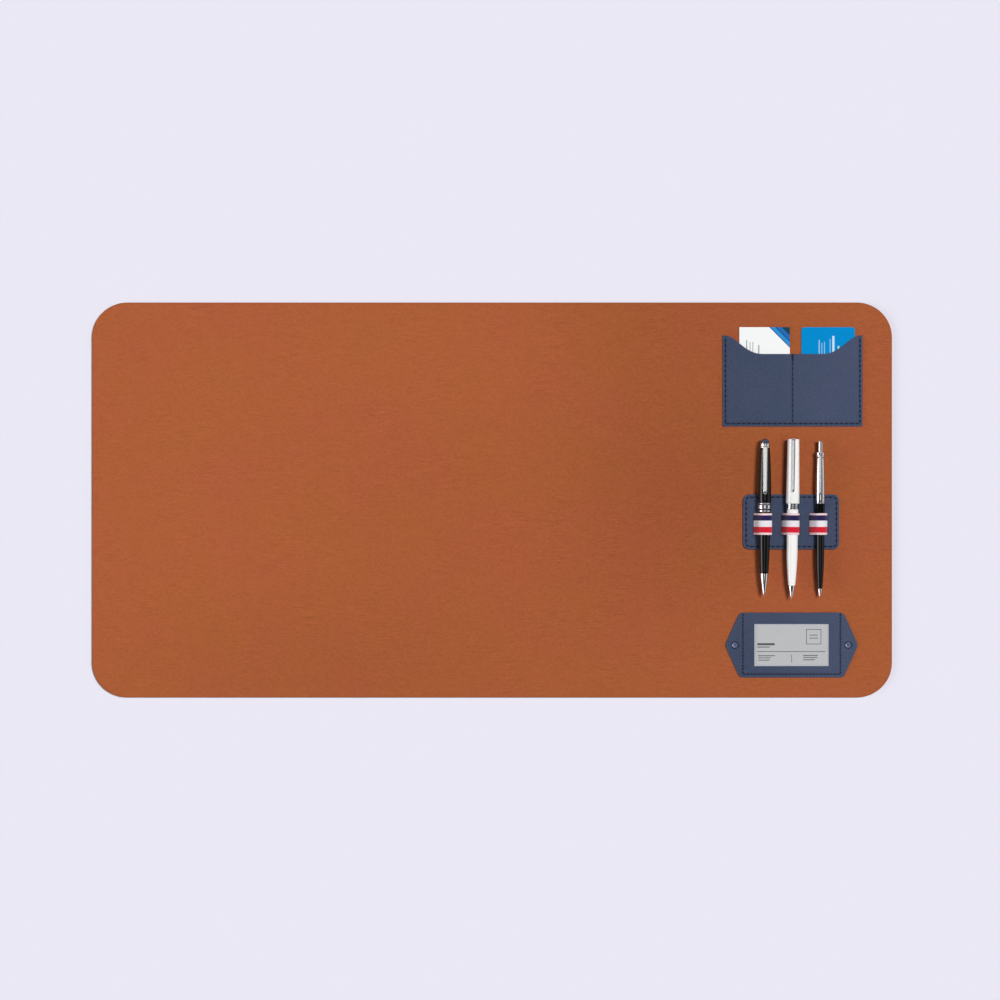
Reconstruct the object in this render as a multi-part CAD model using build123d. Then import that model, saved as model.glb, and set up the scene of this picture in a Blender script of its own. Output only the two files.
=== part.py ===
from build123d import *
import os
from math import acos, atan2, ceil, cos, degrees, hypot, sin, sqrt

# A leather desk pad with a card pocket, three elastic pen loops and a riveted name tag.
# Millimetres. The origin is under the middle of the pad, +X to the user's right, +Y away from
# the user, +Z up. Pens lie along Y with their points towards the user.

# Pad: three bonded sheets.
pad_length = 800.0
pad_width = 395.0
pad_corner_radius = 35.0
backing_thickness = 0.7
core_thickness = 1.0
skin_thickness = 0.9
skin_edge_bevel = 0.3

# Fits shared by everything.
running_gap = 0.3  # between pieces that move past each other
sheet_gap = 0.1  # between a card and the leather under it

# Stitching: each visible stitch lies in a creased groove.
stitch_width = 0.7
stitch_height = 0.45
groove_width = 1.0
groove_depth = 0.25

# Cards: sheets of stiff paper. A seat is the height of a card above its room's lower edge.
card_thickness = 0.4
white_card_width = 50.5
white_card_height = 89.0
white_card_seam_gap = 2.7
white_card_seat = 5.8
blue_card_width = 53.5
blue_card_height = 85.5
blue_card_seam_gap = 8.9
blue_card_seat = 9.3
blue_card_corner_radius = 3.0
name_card_width = 90.0
name_card_height = 54.0
name_card_seat = 1.0

# Card pocket: its middle seam is set in from the pad's right edge.
pocket_inset = 99.5
pocket_top_inset = 33.0
pocket_side_gap = 3.1  # from the wider card to the pocket's room's side
pocket_height = 91.0
pocket_mouth_height = 72.5
pocket_mouth_half = 30.0
pocket_horn_flat = 3.0
pocket_horn_handle = 10.0
pocket_mouth_handle = 18.0
pocket_corner_radius = 1.5
pocket_back_thickness = 0.8
pocket_front_thickness = 1.0
pocket_rise = 0.7
pocket_rim = 4.5
pocket_seam_width = 3.0
pocket_slope = 0.8
pocket_stitch_inset = 2.8
pocket_stitch_pitch = 5.1
pocket_stitch_length = 3.7
pocket_tack_length = 6.0

# Pen holder patch.
patch_inset = 101.0
patch_y = -21.9
patch_length = 96.0
patch_width = 55.0
patch_corner_radius = 6.0
patch_back_thickness = 1.4
patch_front_thickness = 1.3
patch_stitch_inset = 2.8
patch_stitch_pitch = 5.2
patch_stitch_length = 3.7

# Elastic ribbon loops. Their legs pass through slits in the patch.
ribbon_width = 21.5
ribbon_thickness = 0.9
ribbon_drop = 2.1  # from the patch's middle to the ribbons'
slit_gap = 0.2
loop_left_reach = 10.3  # from the pen's axis to the middle of the left leg
loop_right_reach = 7.0

# Name tag: two leather sheets, a clear window and two rivets.
tag_inset = 100.5
tag_bottom_inset = 20.0
tag_side_gap = 2.55  # from the card to its room's side
tag_cover = 5.5  # from the card to the tag's upper edge
tag_shoulder = 3.25  # from the upright stitches to the tag's corners
tag_tip = 13.9  # from the corners to the tips
tag_corner_radius = 6.0
tag_tip_radius = 8.0
tag_back_thickness = 0.8
tag_front_thickness = 1.0
tag_rise = 0.9
tag_slope = 0.8
tag_window_length = 74.4
tag_window_height = 42.0
tag_film_lap = 4.0
tag_film_thickness = 0.25
tag_bottom_seam = 3.3
tag_stitch_pitch = 3.45
tag_stitch_length = 2.5
tag_seam_gap = 1.2  # from the stitches to the card's room
rivet_outset = 4.65  # from the tag's corners to the rivets
rivet_stem_radius = 1.4
rivet_hole_gap = 0.1
rivet_cap_radius = 3.7
rivet_rim_thickness = 0.4
rivet_dome_radius = 2.8
rivet_dome_height = 0.9
rivet_socket_depth = 0.6
rivet_foot_radius = 4.0
rivet_foot_thickness = 0.5

# What the pens share.
swell_fit = 0.08  # how near a swelling stretch's short cones keep to its true curve
refill_radius = 1.55
refill_nose_radius = 0.65
refill_ball_radius = 0.3
refill_taper = 1.4
refill_room = 35.0  # of the sleeve above the refill's end
pen_bore_radius = 3.7
sleeve_overlap = 18.0
sleeve_length = 52.0
twist_gap = 0.3
clip_thickness = 1.0
clip_lift = 0.8
clip_foot_gap = 0.15
clip_foot_length = 2.4

# Black twist pen. Lengths run from the point.
black_point_across = -27.4  # from the patch's middle
black_point_drop = 74.0
black_lean = 0.4
black_reach = 2.6
black_cone_length = 19.8
black_nose_radius = 1.2
black_cone_radius = 4.1
black_cone_swell = 0.35
black_nose_land = 9.5
black_spigot_radius = 3.1
black_spigot_length = 8.0
black_barrel_length = 61.3
black_barrel_low_radius = 4.3
black_barrel_high_radius = 6.25
black_barrel_swell = 0.25
black_trim_length = 9.0
black_trim_seat_radius = 6.0
black_ring_lengths = (1.7, 4.0, 1.0)
black_ring_gaps = (0.1, 1.3, 0.7)
black_ring_radius = 6.85
black_thin_ring_radius = 6.6
black_cap_length = 54.9
black_cap_low_radius = 6.4
black_cap_high_radius = 4.85
black_cap_swell = 0.45
black_clip_ring_length = 4.3
black_clip_ring_radius = 4.75
black_clip_length = 46.5
black_clip_width = 4.8
black_clip_tip_width = 3.8
black_finial_length = 4.9
black_finial_radius = 4.1
black_finial_dome_height = 2.6
black_finial_stud_radius = 1.5
black_finial_stud_depth = 6.0

# White twist pen.
white_point_across = 0.0  # from the patch's middle
white_point_drop = 76.9
white_lean = 0.7
white_reach = 2.6
white_cone_length = 10.9
white_nose_radius = 1.2
white_cone_radius = 3.4
white_nose_land = 5.5
white_spigot_radius = 2.75
white_spigot_length = 8.0
white_barrel_length = 75.8
white_barrel_low_radius = 3.55
white_barrel_mid_radius = 5.55
white_barrel_mid_length = 30.0
white_barrel_mid_swell = 0.25
white_barrel_high_radius = 5.8
white_band_length = 5.7
white_band_seat_radius = 5.6
white_band_radius = 6.5
white_band_bead_length = 1.2
white_band_groove = 0.35
white_cap_length = 64.3
white_cap_low_radius = 6.85
white_cap_high_radius = 5.9
white_cap_edge_round = 1.2
white_clip_length = 66.0
white_clip_width = 3.4
white_clip_tip_width = 2.6
white_clip_tab_thickness = 0.8

# Click pen.
click_point_across = 28.5  # from the patch's middle
click_point_drop = 74.0
click_lean = 0.2
click_nose_radius = 0.85
click_nose_bore_radius = 0.75
click_point_radius = 0.3
click_point_taper = 1.0
click_point_recess = 2.2
click_tube_radius = 0.95
click_nose_land = 4.0
click_cone_length = 7.3
click_cone_radius = 2.25
click_spigot_radius = 1.9
click_spigot_length = 2.0
click_barrel_length = 85.1
click_barrel_low_radius = 2.35
click_barrel_mid_radius = 4.1
click_barrel_mid_length = 33.0
click_barrel_mid_swell = 0.35
click_barrel_high_radius = 4.55
click_front_bore_length = 8.7
click_refill_radius = 2.0
click_refill_front = 24.0
click_refill_end = 112.0
click_travel = 5.0
click_spring_radius = 1.42
click_spring_wire_radius = 0.16
click_spring_turns = 6
click_cap_length = 46.5
click_cap_low_radius = 4.7
click_cap_high_radius = 3.85
click_cap_swell = 0.3
click_cap_bore_radius = 3.1
click_cap_spigot_length = 8.0
click_ring_length = 5.1
click_ring_radius = 4.35
click_button_radius = 2.4
click_button_length = 10.9
click_button_round = 1.2
click_flange_radius = 2.75
click_flange_length = 2.0
click_flange_drop = 0.2  # below the cap's closed end, when the button is out
click_clip_length = 38.4
click_clip_width = 3.2
click_clip_tip_width = 2.4

# Levels that follow from the sheets.
core_base = backing_thickness
skin_base = core_base + core_thickness
pad_top = skin_base + skin_thickness
patch_front_base = pad_top + patch_back_thickness
patch_top = patch_front_base + patch_front_thickness
tag_front_base = pad_top + tag_back_thickness
tag_rim_top = tag_front_base + tag_front_thickness

# The pocket and the tag are as large as their cards need.
pocket_width = 2 * (blue_card_seam_gap + blue_card_width + pocket_side_gap + pocket_rim)
tag_room_width = name_card_width + 2 * tag_side_gap
tag_room_low = tag_bottom_seam + tag_seam_gap  # above the tag's lower edge
tag_seam_length = tag_room_width + 2 * tag_seam_gap
tag_straight = tag_seam_length + 2 * tag_shoulder
tag_length = tag_straight + 2 * tag_tip
tag_height = tag_room_low + name_card_seat + name_card_height + tag_cover
rivet_spacing = tag_straight + 2 * rivet_outset

# Places that follow from the pad's edges.
pad_right = pad_length / 2
pocket_x = pad_right - pocket_inset
pocket_base_y = pad_width / 2 - pocket_top_inset - pocket_height
patch_x = pad_right - patch_inset
tag_x = pad_right - tag_inset
tag_base_y = -pad_width / 2 + tag_bottom_inset
tag_y = tag_base_y + tag_height / 2



def slab(face, base, thickness):
    """A flat sheet cut to a face, with its underside at a height."""
    return extrude(Pos(0, 0, base) * face, thickness)


def pen_place(across, drop, widest_radius, lean):
    """A pen's point and lie: its widest part rests just over the patch."""
    height = patch_top + running_gap + widest_radius
    return Pos(patch_x + across, patch_y - drop, height) * Rot(0, 0, -lean)


black_place = pen_place(black_point_across, black_point_drop, black_ring_radius, black_lean)
white_place = pen_place(white_point_across, white_point_drop, white_cap_low_radius, white_lean)
click_place = pen_place(click_point_across, click_point_drop, click_cap_low_radius, click_lean)


def stitch(length):
    """One visible stitch along X, with its ends sloping into the leather."""
    half = length / 2
    side = Polyline(
        (-half, 0, 0), (half, 0, 0), (half - stitch_height, 0, stitch_height),
        (-half + stitch_height, 0, stitch_height), close=True,
    )
    return extrude(make_face(side), stitch_width / 2, dir=(0, 1, 0), both=True)


def stitch_row(start, end, base, pitch, length):
    """Stitches spread evenly along a straight seam from start to end."""
    run = hypot(end[0] - start[0], end[1] - start[1])
    turn = degrees(atan2(end[1] - start[1], end[0] - start[0]))
    count = max(1, round(run / pitch))
    one = stitch(length)
    placed = []
    for index in range(count):
        share = (index + 0.5) / count
        x = start[0] + share * (end[0] - start[0])
        y = start[1] + share * (end[1] - start[1])
        placed.append(Pos(x, y, base) * Rot(0, 0, turn) * one)
    return placed


def groove(start, end, base, width=groove_width):
    """The crease that a straight seam lies in, sunk from a top face at a height."""
    run = hypot(end[0] - start[0], end[1] - start[1])
    turn = degrees(atan2(end[1] - start[1], end[0] - start[0]))
    middle = ((start[0] + end[0]) / 2, (start[1] + end[1]) / 2)
    cutter = Rectangle(run + width, width)
    return extrude(Pos(*middle, base) * Rot(0, 0, turn) * cutter, -groove_depth)


def gather(pieces):
    """Separate solids kept together as one node."""
    return Compound(children=[solid for piece in pieces for solid in piece.solids()])


# Turned pieces. A profile is a list of stations (along, radius) from the point to the top. A third
# number makes the stretch that ends there an arc, which stands out from its chord by that much.
def round_bow(radius, height):
    """How far a round end bows out from its chord, where it closes a radius over a height."""
    sphere = (radius**2 + height**2) / (2 * height)
    return sphere - sqrt(sphere**2 - (radius**2 + height**2) / 4)


def bowed(start, end, swell):
    """Stations of a long slender stretch, in short cones, that swells most at its middle."""
    steps = ceil(sqrt(swell / swell_fit))
    stations = []
    for step in range(steps + 1):
        share = step / steps
        along = start[0] + share * (end[0] - start[0])
        straight = start[1] + share * (end[1] - start[1])
        stations.append((along, straight + 4 * swell * share * (1 - share)))
    return stations


def profile(stations):
    edges = []
    for before, after in zip(stations, stations[1:]):
        start, end = (before[1], before[0]), (after[1], after[0])
        if len(after) == 3:
            edges.append(SagittaArc(start, end, -after[2]))
        else:
            edges.append(Line(start, end))
    return edges


def turned(outside, inside=None):
    """Revolves the space between two profiles about the pen's axis, which lies along Y."""
    inside = inside or [(outside[0][0], 0), (outside[-1][0], 0)]
    edges = profile(outside) + profile(inside)
    for one, other in ((outside[0], inside[0]), (outside[-1], inside[-1])):
        if one[:2] != other[:2]:
            edges.append(Line((one[1], one[0]), (other[1], other[0])))
    return revolve(make_face(edges), Axis.Y)


def clip_arm(root, ring_length, root_radius, length, end_radius, width, tip_width):
    """A sprung arm that rises from its ring, runs along the cap and ends in a foot over it."""
    low = root - ring_length / 2 + clip_foot_gap
    high = root + ring_length / 2 - clip_foot_gap
    end = root + ring_length / 2 - length
    buried = root_radius - clip_thickness / 2
    side = Polyline(
        (0, low, buried), (0, high, buried),
        (0, high - clip_thickness / 2, root_radius + clip_lift + clip_thickness),
        (0, end + clip_foot_length, end_radius + clip_lift + clip_thickness),
        (0, end, end_radius + clip_foot_gap + clip_thickness / 2),
        (0, end + clip_foot_length / 2, end_radius + clip_foot_gap),
        (0, end + 2 * clip_foot_length, end_radius + clip_lift),
        (0, low, root_radius + clip_lift), close=True,
    )
    return narrowed(side, high, end, width, tip_width)


def narrowed(side, high, end, width, tip_width):
    """An arm drawn from the side, cut so that it narrows from its root to a round tip."""
    arm = extrude(make_face(side), width, dir=(1, 0, 0), both=True)
    tip_centre = end + tip_width / 2
    outline = Polyline(
        (-width / 2, high), (width / 2, high),
        (tip_width / 2, tip_centre), (-tip_width / 2, tip_centre), close=True,
    )
    plan = make_face(outline) + Pos(0, tip_centre) * Circle(tip_width / 2)
    return arm & extrude(plan, arm.bounding_box().max.Z)


def twist_pen(cone, nose_land, spigot_radius, spigot_length, barrel, barrel_top):
    """The pieces that both twist pens have, from the outlines of the cone and the barrel."""
    nose_bore = refill_nose_radius + running_gap
    refill_bore = refill_radius + running_gap
    reach = cone[0][0]
    cone_top = cone[-1][0]
    step = reach + nose_land
    spigot_top = cone_top + spigot_length
    nose = turned(
        cone + [(cone_top, spigot_radius), (spigot_top, spigot_radius)],
        [(reach, nose_bore), (step, nose_bore), (step, refill_bore), (spigot_top, refill_bore)],
    )
    shell = turned(
        barrel,
        [(cone_top, spigot_radius), (spigot_top, spigot_radius), (spigot_top, pen_bore_radius),
         (barrel_top, pen_bore_radius)],
    )
    sleeve_base = barrel_top - sleeve_overlap
    sleeve_top = sleeve_base + sleeve_length
    sleeve_radius = pen_bore_radius - running_gap
    sleeve = turned(
        [(sleeve_base, sleeve_radius), (sleeve_top, sleeve_radius)],
        [(sleeve_base, refill_bore), (sleeve_top, refill_bore)],
    )
    shoulder = step + running_gap
    refill = turned([
        (0, refill_ball_radius), (refill_taper, refill_nose_radius),
        (shoulder, refill_nose_radius), (shoulder, refill_radius),
        (sleeve_top - refill_room, refill_radius),
    ])
    return {"cone": nose, "barrel": shell, "sleeve": sleeve, "refill": refill}


def desk_pad():
    outline = RectangleRounded(pad_length, pad_width, pad_corner_radius)
    hole_radius = rivet_stem_radius + rivet_hole_gap
    holes = rivet_pairs(Cylinder(hole_radius, 2 * pad_top))
    foot_room = Cylinder(
        rivet_foot_radius + rivet_hole_gap, rivet_foot_thickness + rivet_hole_gap,
        align=(Align.CENTER, Align.CENTER, Align.MIN),
    )
    backing = slab(outline, 0, backing_thickness)
    core = slab(outline, core_base, core_thickness) - holes
    core -= rivet_pairs(Pos(0, 0, core_base) * foot_room)
    skin = slab(outline, skin_base, skin_thickness)
    top = skin.faces().sort_by(Axis.Z)[-1]
    skin = chamfer(top.outer_wire().edges(), skin_edge_bevel) - holes
    return {"pad_backing": backing, "pad_core": core, "pad_skin": skin}


def rivet_pairs(piece):
    """A copy of a piece at each rivet of the name tag."""
    return [Pos(tag_x + side * rivet_spacing / 2, tag_y, 0) * piece for side in (-1, 1)]


def pocket_outline():
    """A wide U with a swooping mouth that leaves a horn at each side."""
    half = pocket_width / 2
    horn = half - pocket_horn_flat
    lines = Polyline(
        (-horn, pocket_height), (-half, pocket_height), (-half, 0), (half, 0),
        (half, pocket_height), (horn, pocket_height),
    ).edges()
    mouth = pocket_mouth_half
    lines += Line((-mouth, pocket_mouth_height), (mouth, pocket_mouth_height)).edges()
    for side in (-1, 1):
        lines += Bezier(
            (side * horn, pocket_height),
            (side * (horn - pocket_horn_handle), pocket_height),
            (side * (mouth + pocket_mouth_handle), pocket_mouth_height),
            (side * mouth, pocket_mouth_height),
        ).edges()
    face = make_face(lines)
    low_corners = face.vertices().sort_by(Axis.Y)[:2]
    return fillet(low_corners, pocket_corner_radius)


def pocket_rooms(base, rise):
    """The two tapering rooms that the front leather is pressed out over, open at the mouth."""
    from_side = pocket_width / 2 - pocket_rim
    from_seam = pocket_seam_width / 2
    taper = degrees(atan2(pocket_slope, rise))
    width = from_side - from_seam
    height = 2 * pocket_height
    rooms = []
    for side in (-1, 1):
        x = side * (from_side + from_seam) / 2
        floor = Pos(x, pocket_rim + height / 2, base) * Rectangle(width, height)
        rooms.append(extrude(floor, rise, taper=taper))
    return rooms


def card_pocket():
    place = Pos(pocket_x, pocket_base_y, 0)
    outline = pocket_outline()
    front_base = pad_top + pocket_back_thickness
    rim_top = front_base + pocket_front_thickness
    back = slab(outline, pad_top, pocket_back_thickness)
    front = slab(outline, front_base, pocket_front_thickness)
    bulge = slab(outline, rim_top, pocket_rise)
    for room in pocket_rooms(rim_top, pocket_rise):
        front += bulge & room
    for room in pocket_rooms(front_base, pocket_rise):
        front -= room
    x = pocket_width / 2 - pocket_stitch_inset
    y = pocket_stitch_inset
    top = pocket_height - pocket_stitch_inset
    tack_y = pocket_mouth_height - pocket_tack_length
    seams = [((-x, y), (-x, top)), ((-x, y), (x, y)), ((x, y), (x, top)), ((0, y), (0, tack_y))]
    seat = rim_top - groove_depth
    stitches = []
    for start, end in seams:
        front -= groove(start, end, rim_top)
        stitches += stitch_row(start, end, seat, pocket_stitch_pitch, pocket_stitch_length)
    tack = (tack_y + pocket_stitch_length / 2, pocket_mouth_height - stitch_width)
    front -= groove((0, tack[0]), (0, tack[1]), rim_top)
    stitches.append(Pos(0, sum(tack) / 2, seat) * Rot(0, 0, 90) * stitch(tack[1] - tack[0]))
    return {
        "pocket_back": place * back,
        "pocket_front": place * front,
        "pocket_stitching": place * gather(stitches),
    }


def cards():
    """Two cards standing in the pocket and one lying behind the name tag's window."""
    room_low = pocket_base_y + pocket_rim
    white = Pos(pocket_x - white_card_seam_gap, room_low + white_card_seat) * Rectangle(
        white_card_width, white_card_height, align=(Align.MAX, Align.MIN)
    )
    blue = Pos(pocket_x + blue_card_seam_gap, room_low + blue_card_seat) * RectangleRounded(
        blue_card_width, blue_card_height, blue_card_corner_radius, align=(Align.MIN, Align.MIN)
    )
    name = Pos(tag_x, tag_base_y + tag_room_low + name_card_seat) * Rectangle(
        name_card_width, name_card_height, align=(Align.CENTER, Align.MIN)
    )
    pocket_floor = pad_top + pocket_back_thickness + sheet_gap
    return {
        "white_card": slab(white, pocket_floor, card_thickness),
        "blue_card": slab(blue, pocket_floor, card_thickness),
        "name_card": slab(name, tag_front_base + sheet_gap, card_thickness),
    }


def tangent_point(point, radius, side):
    """Where a strap drawn tight from a point meets a round of a radius about the origin."""
    turn = atan2(point[1], point[0]) + side * acos(radius / hypot(*point))
    return (radius * cos(turn), radius * sin(turn))


def ribbon_centre(place):
    """How far along a pen, from its point, the ribbons cross it."""
    return patch_y - ribbon_drop - place.position.Y


def pen_loop(place, barrel_radius):
    """A closed elastic band: over the pen, down through both slits and under the patch."""
    half = ribbon_thickness / 2
    top = patch_top - place.position.Z
    under = patch_front_base - place.position.Z - sheet_gap / 2
    left = -loop_left_reach + half
    right = loop_right_reach - half
    inner_radius = barrel_radius + running_gap
    left_touch = tangent_point((left, top), inner_radius, -1)
    right_touch = tangent_point((right, top), inner_radius, 1)
    edges = Polyline(
        (right_touch[0], right_touch[1]), (right, top), (right, under), (left, under),
        (left, top), (left_touch[0], left_touch[1]),
    ).edges()
    edges += ThreePointArc(left_touch, (0, inner_radius), right_touch).edges()
    inner = make_face(edges)
    outer = offset(inner, ribbon_thickness, kind=Kind.INTERSECTION)
    band = extrude(Rot(90, 0, 0) * (outer - inner), ribbon_width / 2, both=True)
    return place * Pos(0, ribbon_centre(place), 0) * band


def pen_patch():
    """Two leather sheets sewn round their edge, with the slits and the room for the ribbons."""
    flat = Pos(patch_x, patch_y)
    outline = flat * RectangleRounded(patch_length, patch_width, patch_corner_radius)
    back = slab(outline, pad_top, patch_back_thickness)
    front = slab(outline, patch_front_base, patch_front_thickness)
    slit_length = ribbon_width + 2 * slit_gap
    slit_width = ribbon_thickness + 2 * slit_gap
    for place in (black_place, white_place, click_place):
        flat_place = Pos(place.position.X, place.position.Y) * Rot(0, 0, place.orientation.Z)
        y = ribbon_centre(place)
        for x in (-loop_left_reach, loop_right_reach):
            slit = flat_place * Pos(x, y) * Rectangle(slit_width, slit_length)
            front -= slab(slit, patch_front_base - slit_gap, patch_front_thickness + 2 * slit_gap)
        reach = loop_left_reach + loop_right_reach
        middle = (loop_right_reach - loop_left_reach) / 2
        room = flat_place * Pos(middle, y) * Rectangle(reach + slit_width, slit_length)
        back -= slab(room, pad_top - slit_gap, patch_back_thickness + 2 * slit_gap)
    outer = patch_inside(patch_stitch_inset - groove_width / 2)
    inner = patch_inside(patch_stitch_inset + groove_width / 2)
    front -= slab(flat * (outer - inner), patch_top - groove_depth, 2 * groove_depth)
    return {"patch_back": back, "patch_front": front, "patch_stitching": patch_stitches()}


def patch_inside(inset):
    """The patch's outline drawn smaller by the same amount all round."""
    return RectangleRounded(
        patch_length - 2 * inset, patch_width - 2 * inset, patch_corner_radius - inset
    )


def patch_stitches():
    x = patch_length / 2 - patch_stitch_inset
    y = patch_width / 2 - patch_stitch_inset
    bend = patch_corner_radius - patch_stitch_inset
    seat = patch_top - groove_depth
    sides = [
        ((-x + bend, y), (x - bend, y)), ((-x + bend, -y), (x - bend, -y)),
        ((-x, -y + bend), (-x, y - bend)), ((x, -y + bend), (x, y - bend)),
    ]
    stitches = []
    for start, end in sides:
        stitches += stitch_row(start, end, seat, patch_stitch_pitch, patch_stitch_length)
    return Pos(patch_x, patch_y, 0) * gather(stitches)


def tag_outline():
    """A long hexagon with rounded corners and a rounded tip at each end."""
    corner_x = tag_straight / 2
    corner_y = tag_height / 2
    tip_x = tag_length / 2
    centre_x = tip_x - tag_tip_radius
    touch = tangent_point((corner_x - centre_x, corner_y), tag_tip_radius, -1)
    touch_x = centre_x + touch[0]
    edges = Line((-corner_x, corner_y), (corner_x, corner_y)).edges()
    edges += Line((-corner_x, -corner_y), (corner_x, -corner_y)).edges()
    for side in (-1, 1):
        edges += Line((side * corner_x, corner_y), (side * touch_x, touch[1])).edges()
        edges += ThreePointArc(
            (side * touch_x, touch[1]), (side * tip_x, 0), (side * touch_x, -touch[1])
        ).edges()
        edges += Line((side * touch_x, -touch[1]), (side * corner_x, -corner_y)).edges()
    hexagon = make_face(edges)
    by_height = hexagon.vertices().sort_by(Axis.Y)
    return fillet(by_height[:2] + by_height[-2:], tag_corner_radius)


def tag_room(base):
    """The tapering room for the card, open at the tag's upper edge."""
    height = 2 * tag_height
    middle = -tag_height / 2 + tag_room_low + height / 2
    taper = degrees(atan2(tag_slope, tag_rise))
    floor = Pos(0, middle, base) * Rectangle(tag_room_width, height)
    return extrude(floor, tag_rise, taper=taper)


def name_tag():
    place = Pos(tag_x, tag_y, 0)
    outline = tag_outline()
    hole = Cylinder(rivet_stem_radius + rivet_hole_gap, 4 * tag_rim_top)
    holes = [Pos(side * rivet_spacing / 2, 0, 0) * hole for side in (-1, 1)]
    back = slab(outline, pad_top, tag_back_thickness) - holes
    front = slab(outline, tag_front_base, tag_front_thickness)
    front += slab(outline, tag_rim_top, tag_rise) & tag_room(tag_rim_top)
    front -= tag_room(tag_front_base)
    front -= holes
    front -= slab(Rectangle(tag_window_length, tag_window_height), tag_front_base, 2 * tag_rim_top)
    film_top = tag_front_base + tag_rise
    film = slab(
        Rectangle(tag_window_length + 2 * tag_film_lap, tag_window_height + 2 * tag_film_lap),
        film_top - tag_film_thickness, tag_film_thickness,
    )
    x = tag_seam_length / 2
    low = -tag_height / 2 + tag_bottom_seam
    high = tag_height / 2 - stitch_width
    seat = tag_rim_top - groove_depth
    stitches = []
    for start, end in [((-x, low), (-x, high)), ((-x, low), (x, low)), ((x, low), (x, high))]:
        front -= groove(start, end, tag_rim_top)
        stitches += stitch_row(start, end, seat, tag_stitch_pitch, tag_stitch_length)
    return {
        "tag_back": place * back,
        "tag_front": place * front,
        "tag_window": place * film,
        "tag_stitching": place * gather(stitches),
    }


def tag_rivets():
    """Two rivets: the feet are trapped under the pad's core and the caps hold the tag down."""
    foot_top = core_base + rivet_foot_thickness
    stem_top = tag_rim_top + rivet_socket_depth
    post = Pos(0, 0, core_base) * Cylinder(
        rivet_foot_radius, rivet_foot_thickness, align=(Align.CENTER, Align.CENTER, Align.MIN)
    )
    post += Pos(0, 0, foot_top) * Cylinder(
        rivet_stem_radius, stem_top - foot_top, align=(Align.CENTER, Align.CENTER, Align.MIN)
    )
    bow = round_bow(rivet_dome_radius, rivet_dome_height)
    dome_top = rivet_rim_thickness + rivet_dome_height
    cap = Pos(0, 0, tag_rim_top) * Rot(90, 0, 0) * turned(
        [(0, rivet_cap_radius), (rivet_rim_thickness, rivet_cap_radius),
         (rivet_rim_thickness, rivet_dome_radius), (dome_top, 0, bow)],
        [(0, rivet_stem_radius), (rivet_socket_depth, rivet_stem_radius),
         (rivet_socket_depth, 0), (dome_top, 0)],
    )
    return {
        "tag_rivet_posts": gather(rivet_pairs(post)),
        "tag_rivet_caps": gather(rivet_pairs(cap)),
    }


def black_pen():
    cone_top = black_reach + black_cone_length
    barrel_top = cone_top + black_barrel_length
    cone = bowed(
        (black_reach, black_nose_radius), (cone_top, black_cone_radius), black_cone_swell
    )
    barrel = bowed(
        (cone_top, black_barrel_low_radius), (barrel_top, black_barrel_high_radius),
        black_barrel_swell,
    )
    pieces = twist_pen(
        cone, black_nose_land, black_spigot_radius, black_spigot_length, barrel, barrel_top
    )
    cap_base = barrel_top + twist_gap
    trim_top = cap_base + black_trim_length
    cap_top = trim_top + black_cap_length
    sleeve_radius = pen_bore_radius - running_gap
    sleeve_top = barrel_top - sleeve_overlap + sleeve_length
    stud_base = cap_top - black_finial_stud_depth
    pieces["cap"] = turned(
        [(cap_base, black_trim_seat_radius), (trim_top, black_trim_seat_radius)]
        + bowed((trim_top, black_cap_low_radius), (cap_top, black_cap_high_radius), black_cap_swell),
        [(cap_base, sleeve_radius), (sleeve_top, sleeve_radius), (sleeve_top, 0), (stud_base, 0),
         (stud_base, black_finial_stud_radius), (cap_top, black_finial_stud_radius)],
    )
    rings = []
    along = cap_base
    radii = (black_thin_ring_radius, black_ring_radius, black_thin_ring_radius)
    for gap, length, radius in zip(black_ring_gaps, black_ring_lengths, radii):
        along += gap
        rings.append(turned(
            [(along, radius), (along + length, radius)],
            [(along, black_trim_seat_radius), (along + length, black_trim_seat_radius)],
        ))
        along += length
    pieces["rings"] = gather(rings)
    ring_top = cap_top + black_clip_ring_length
    ring = turned(
        [(cap_top, black_clip_ring_radius), (ring_top, black_clip_ring_radius)],
        [(cap_top, black_finial_stud_radius), (ring_top, black_finial_stud_radius)],
    )
    arm = clip_arm(
        (cap_top + ring_top) / 2, black_clip_ring_length, black_clip_ring_radius,
        black_clip_length + black_clip_ring_length, black_cap_low_radius + black_cap_swell / 4,
        black_clip_width, black_clip_tip_width,
    )
    pieces["clip"] = ring + arm
    finial_top = ring_top + black_finial_length
    dome = black_finial_dome_height
    pieces["finial"] = turned([
        (stud_base, black_finial_stud_radius), (ring_top, black_finial_stud_radius),
        (ring_top, black_finial_radius),
        (finial_top - dome, black_finial_radius),
        (finial_top, 0, round_bow(black_finial_radius, dome)),
    ])
    return {f"black_pen_{name}": black_place * piece for name, piece in pieces.items()}


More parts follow.
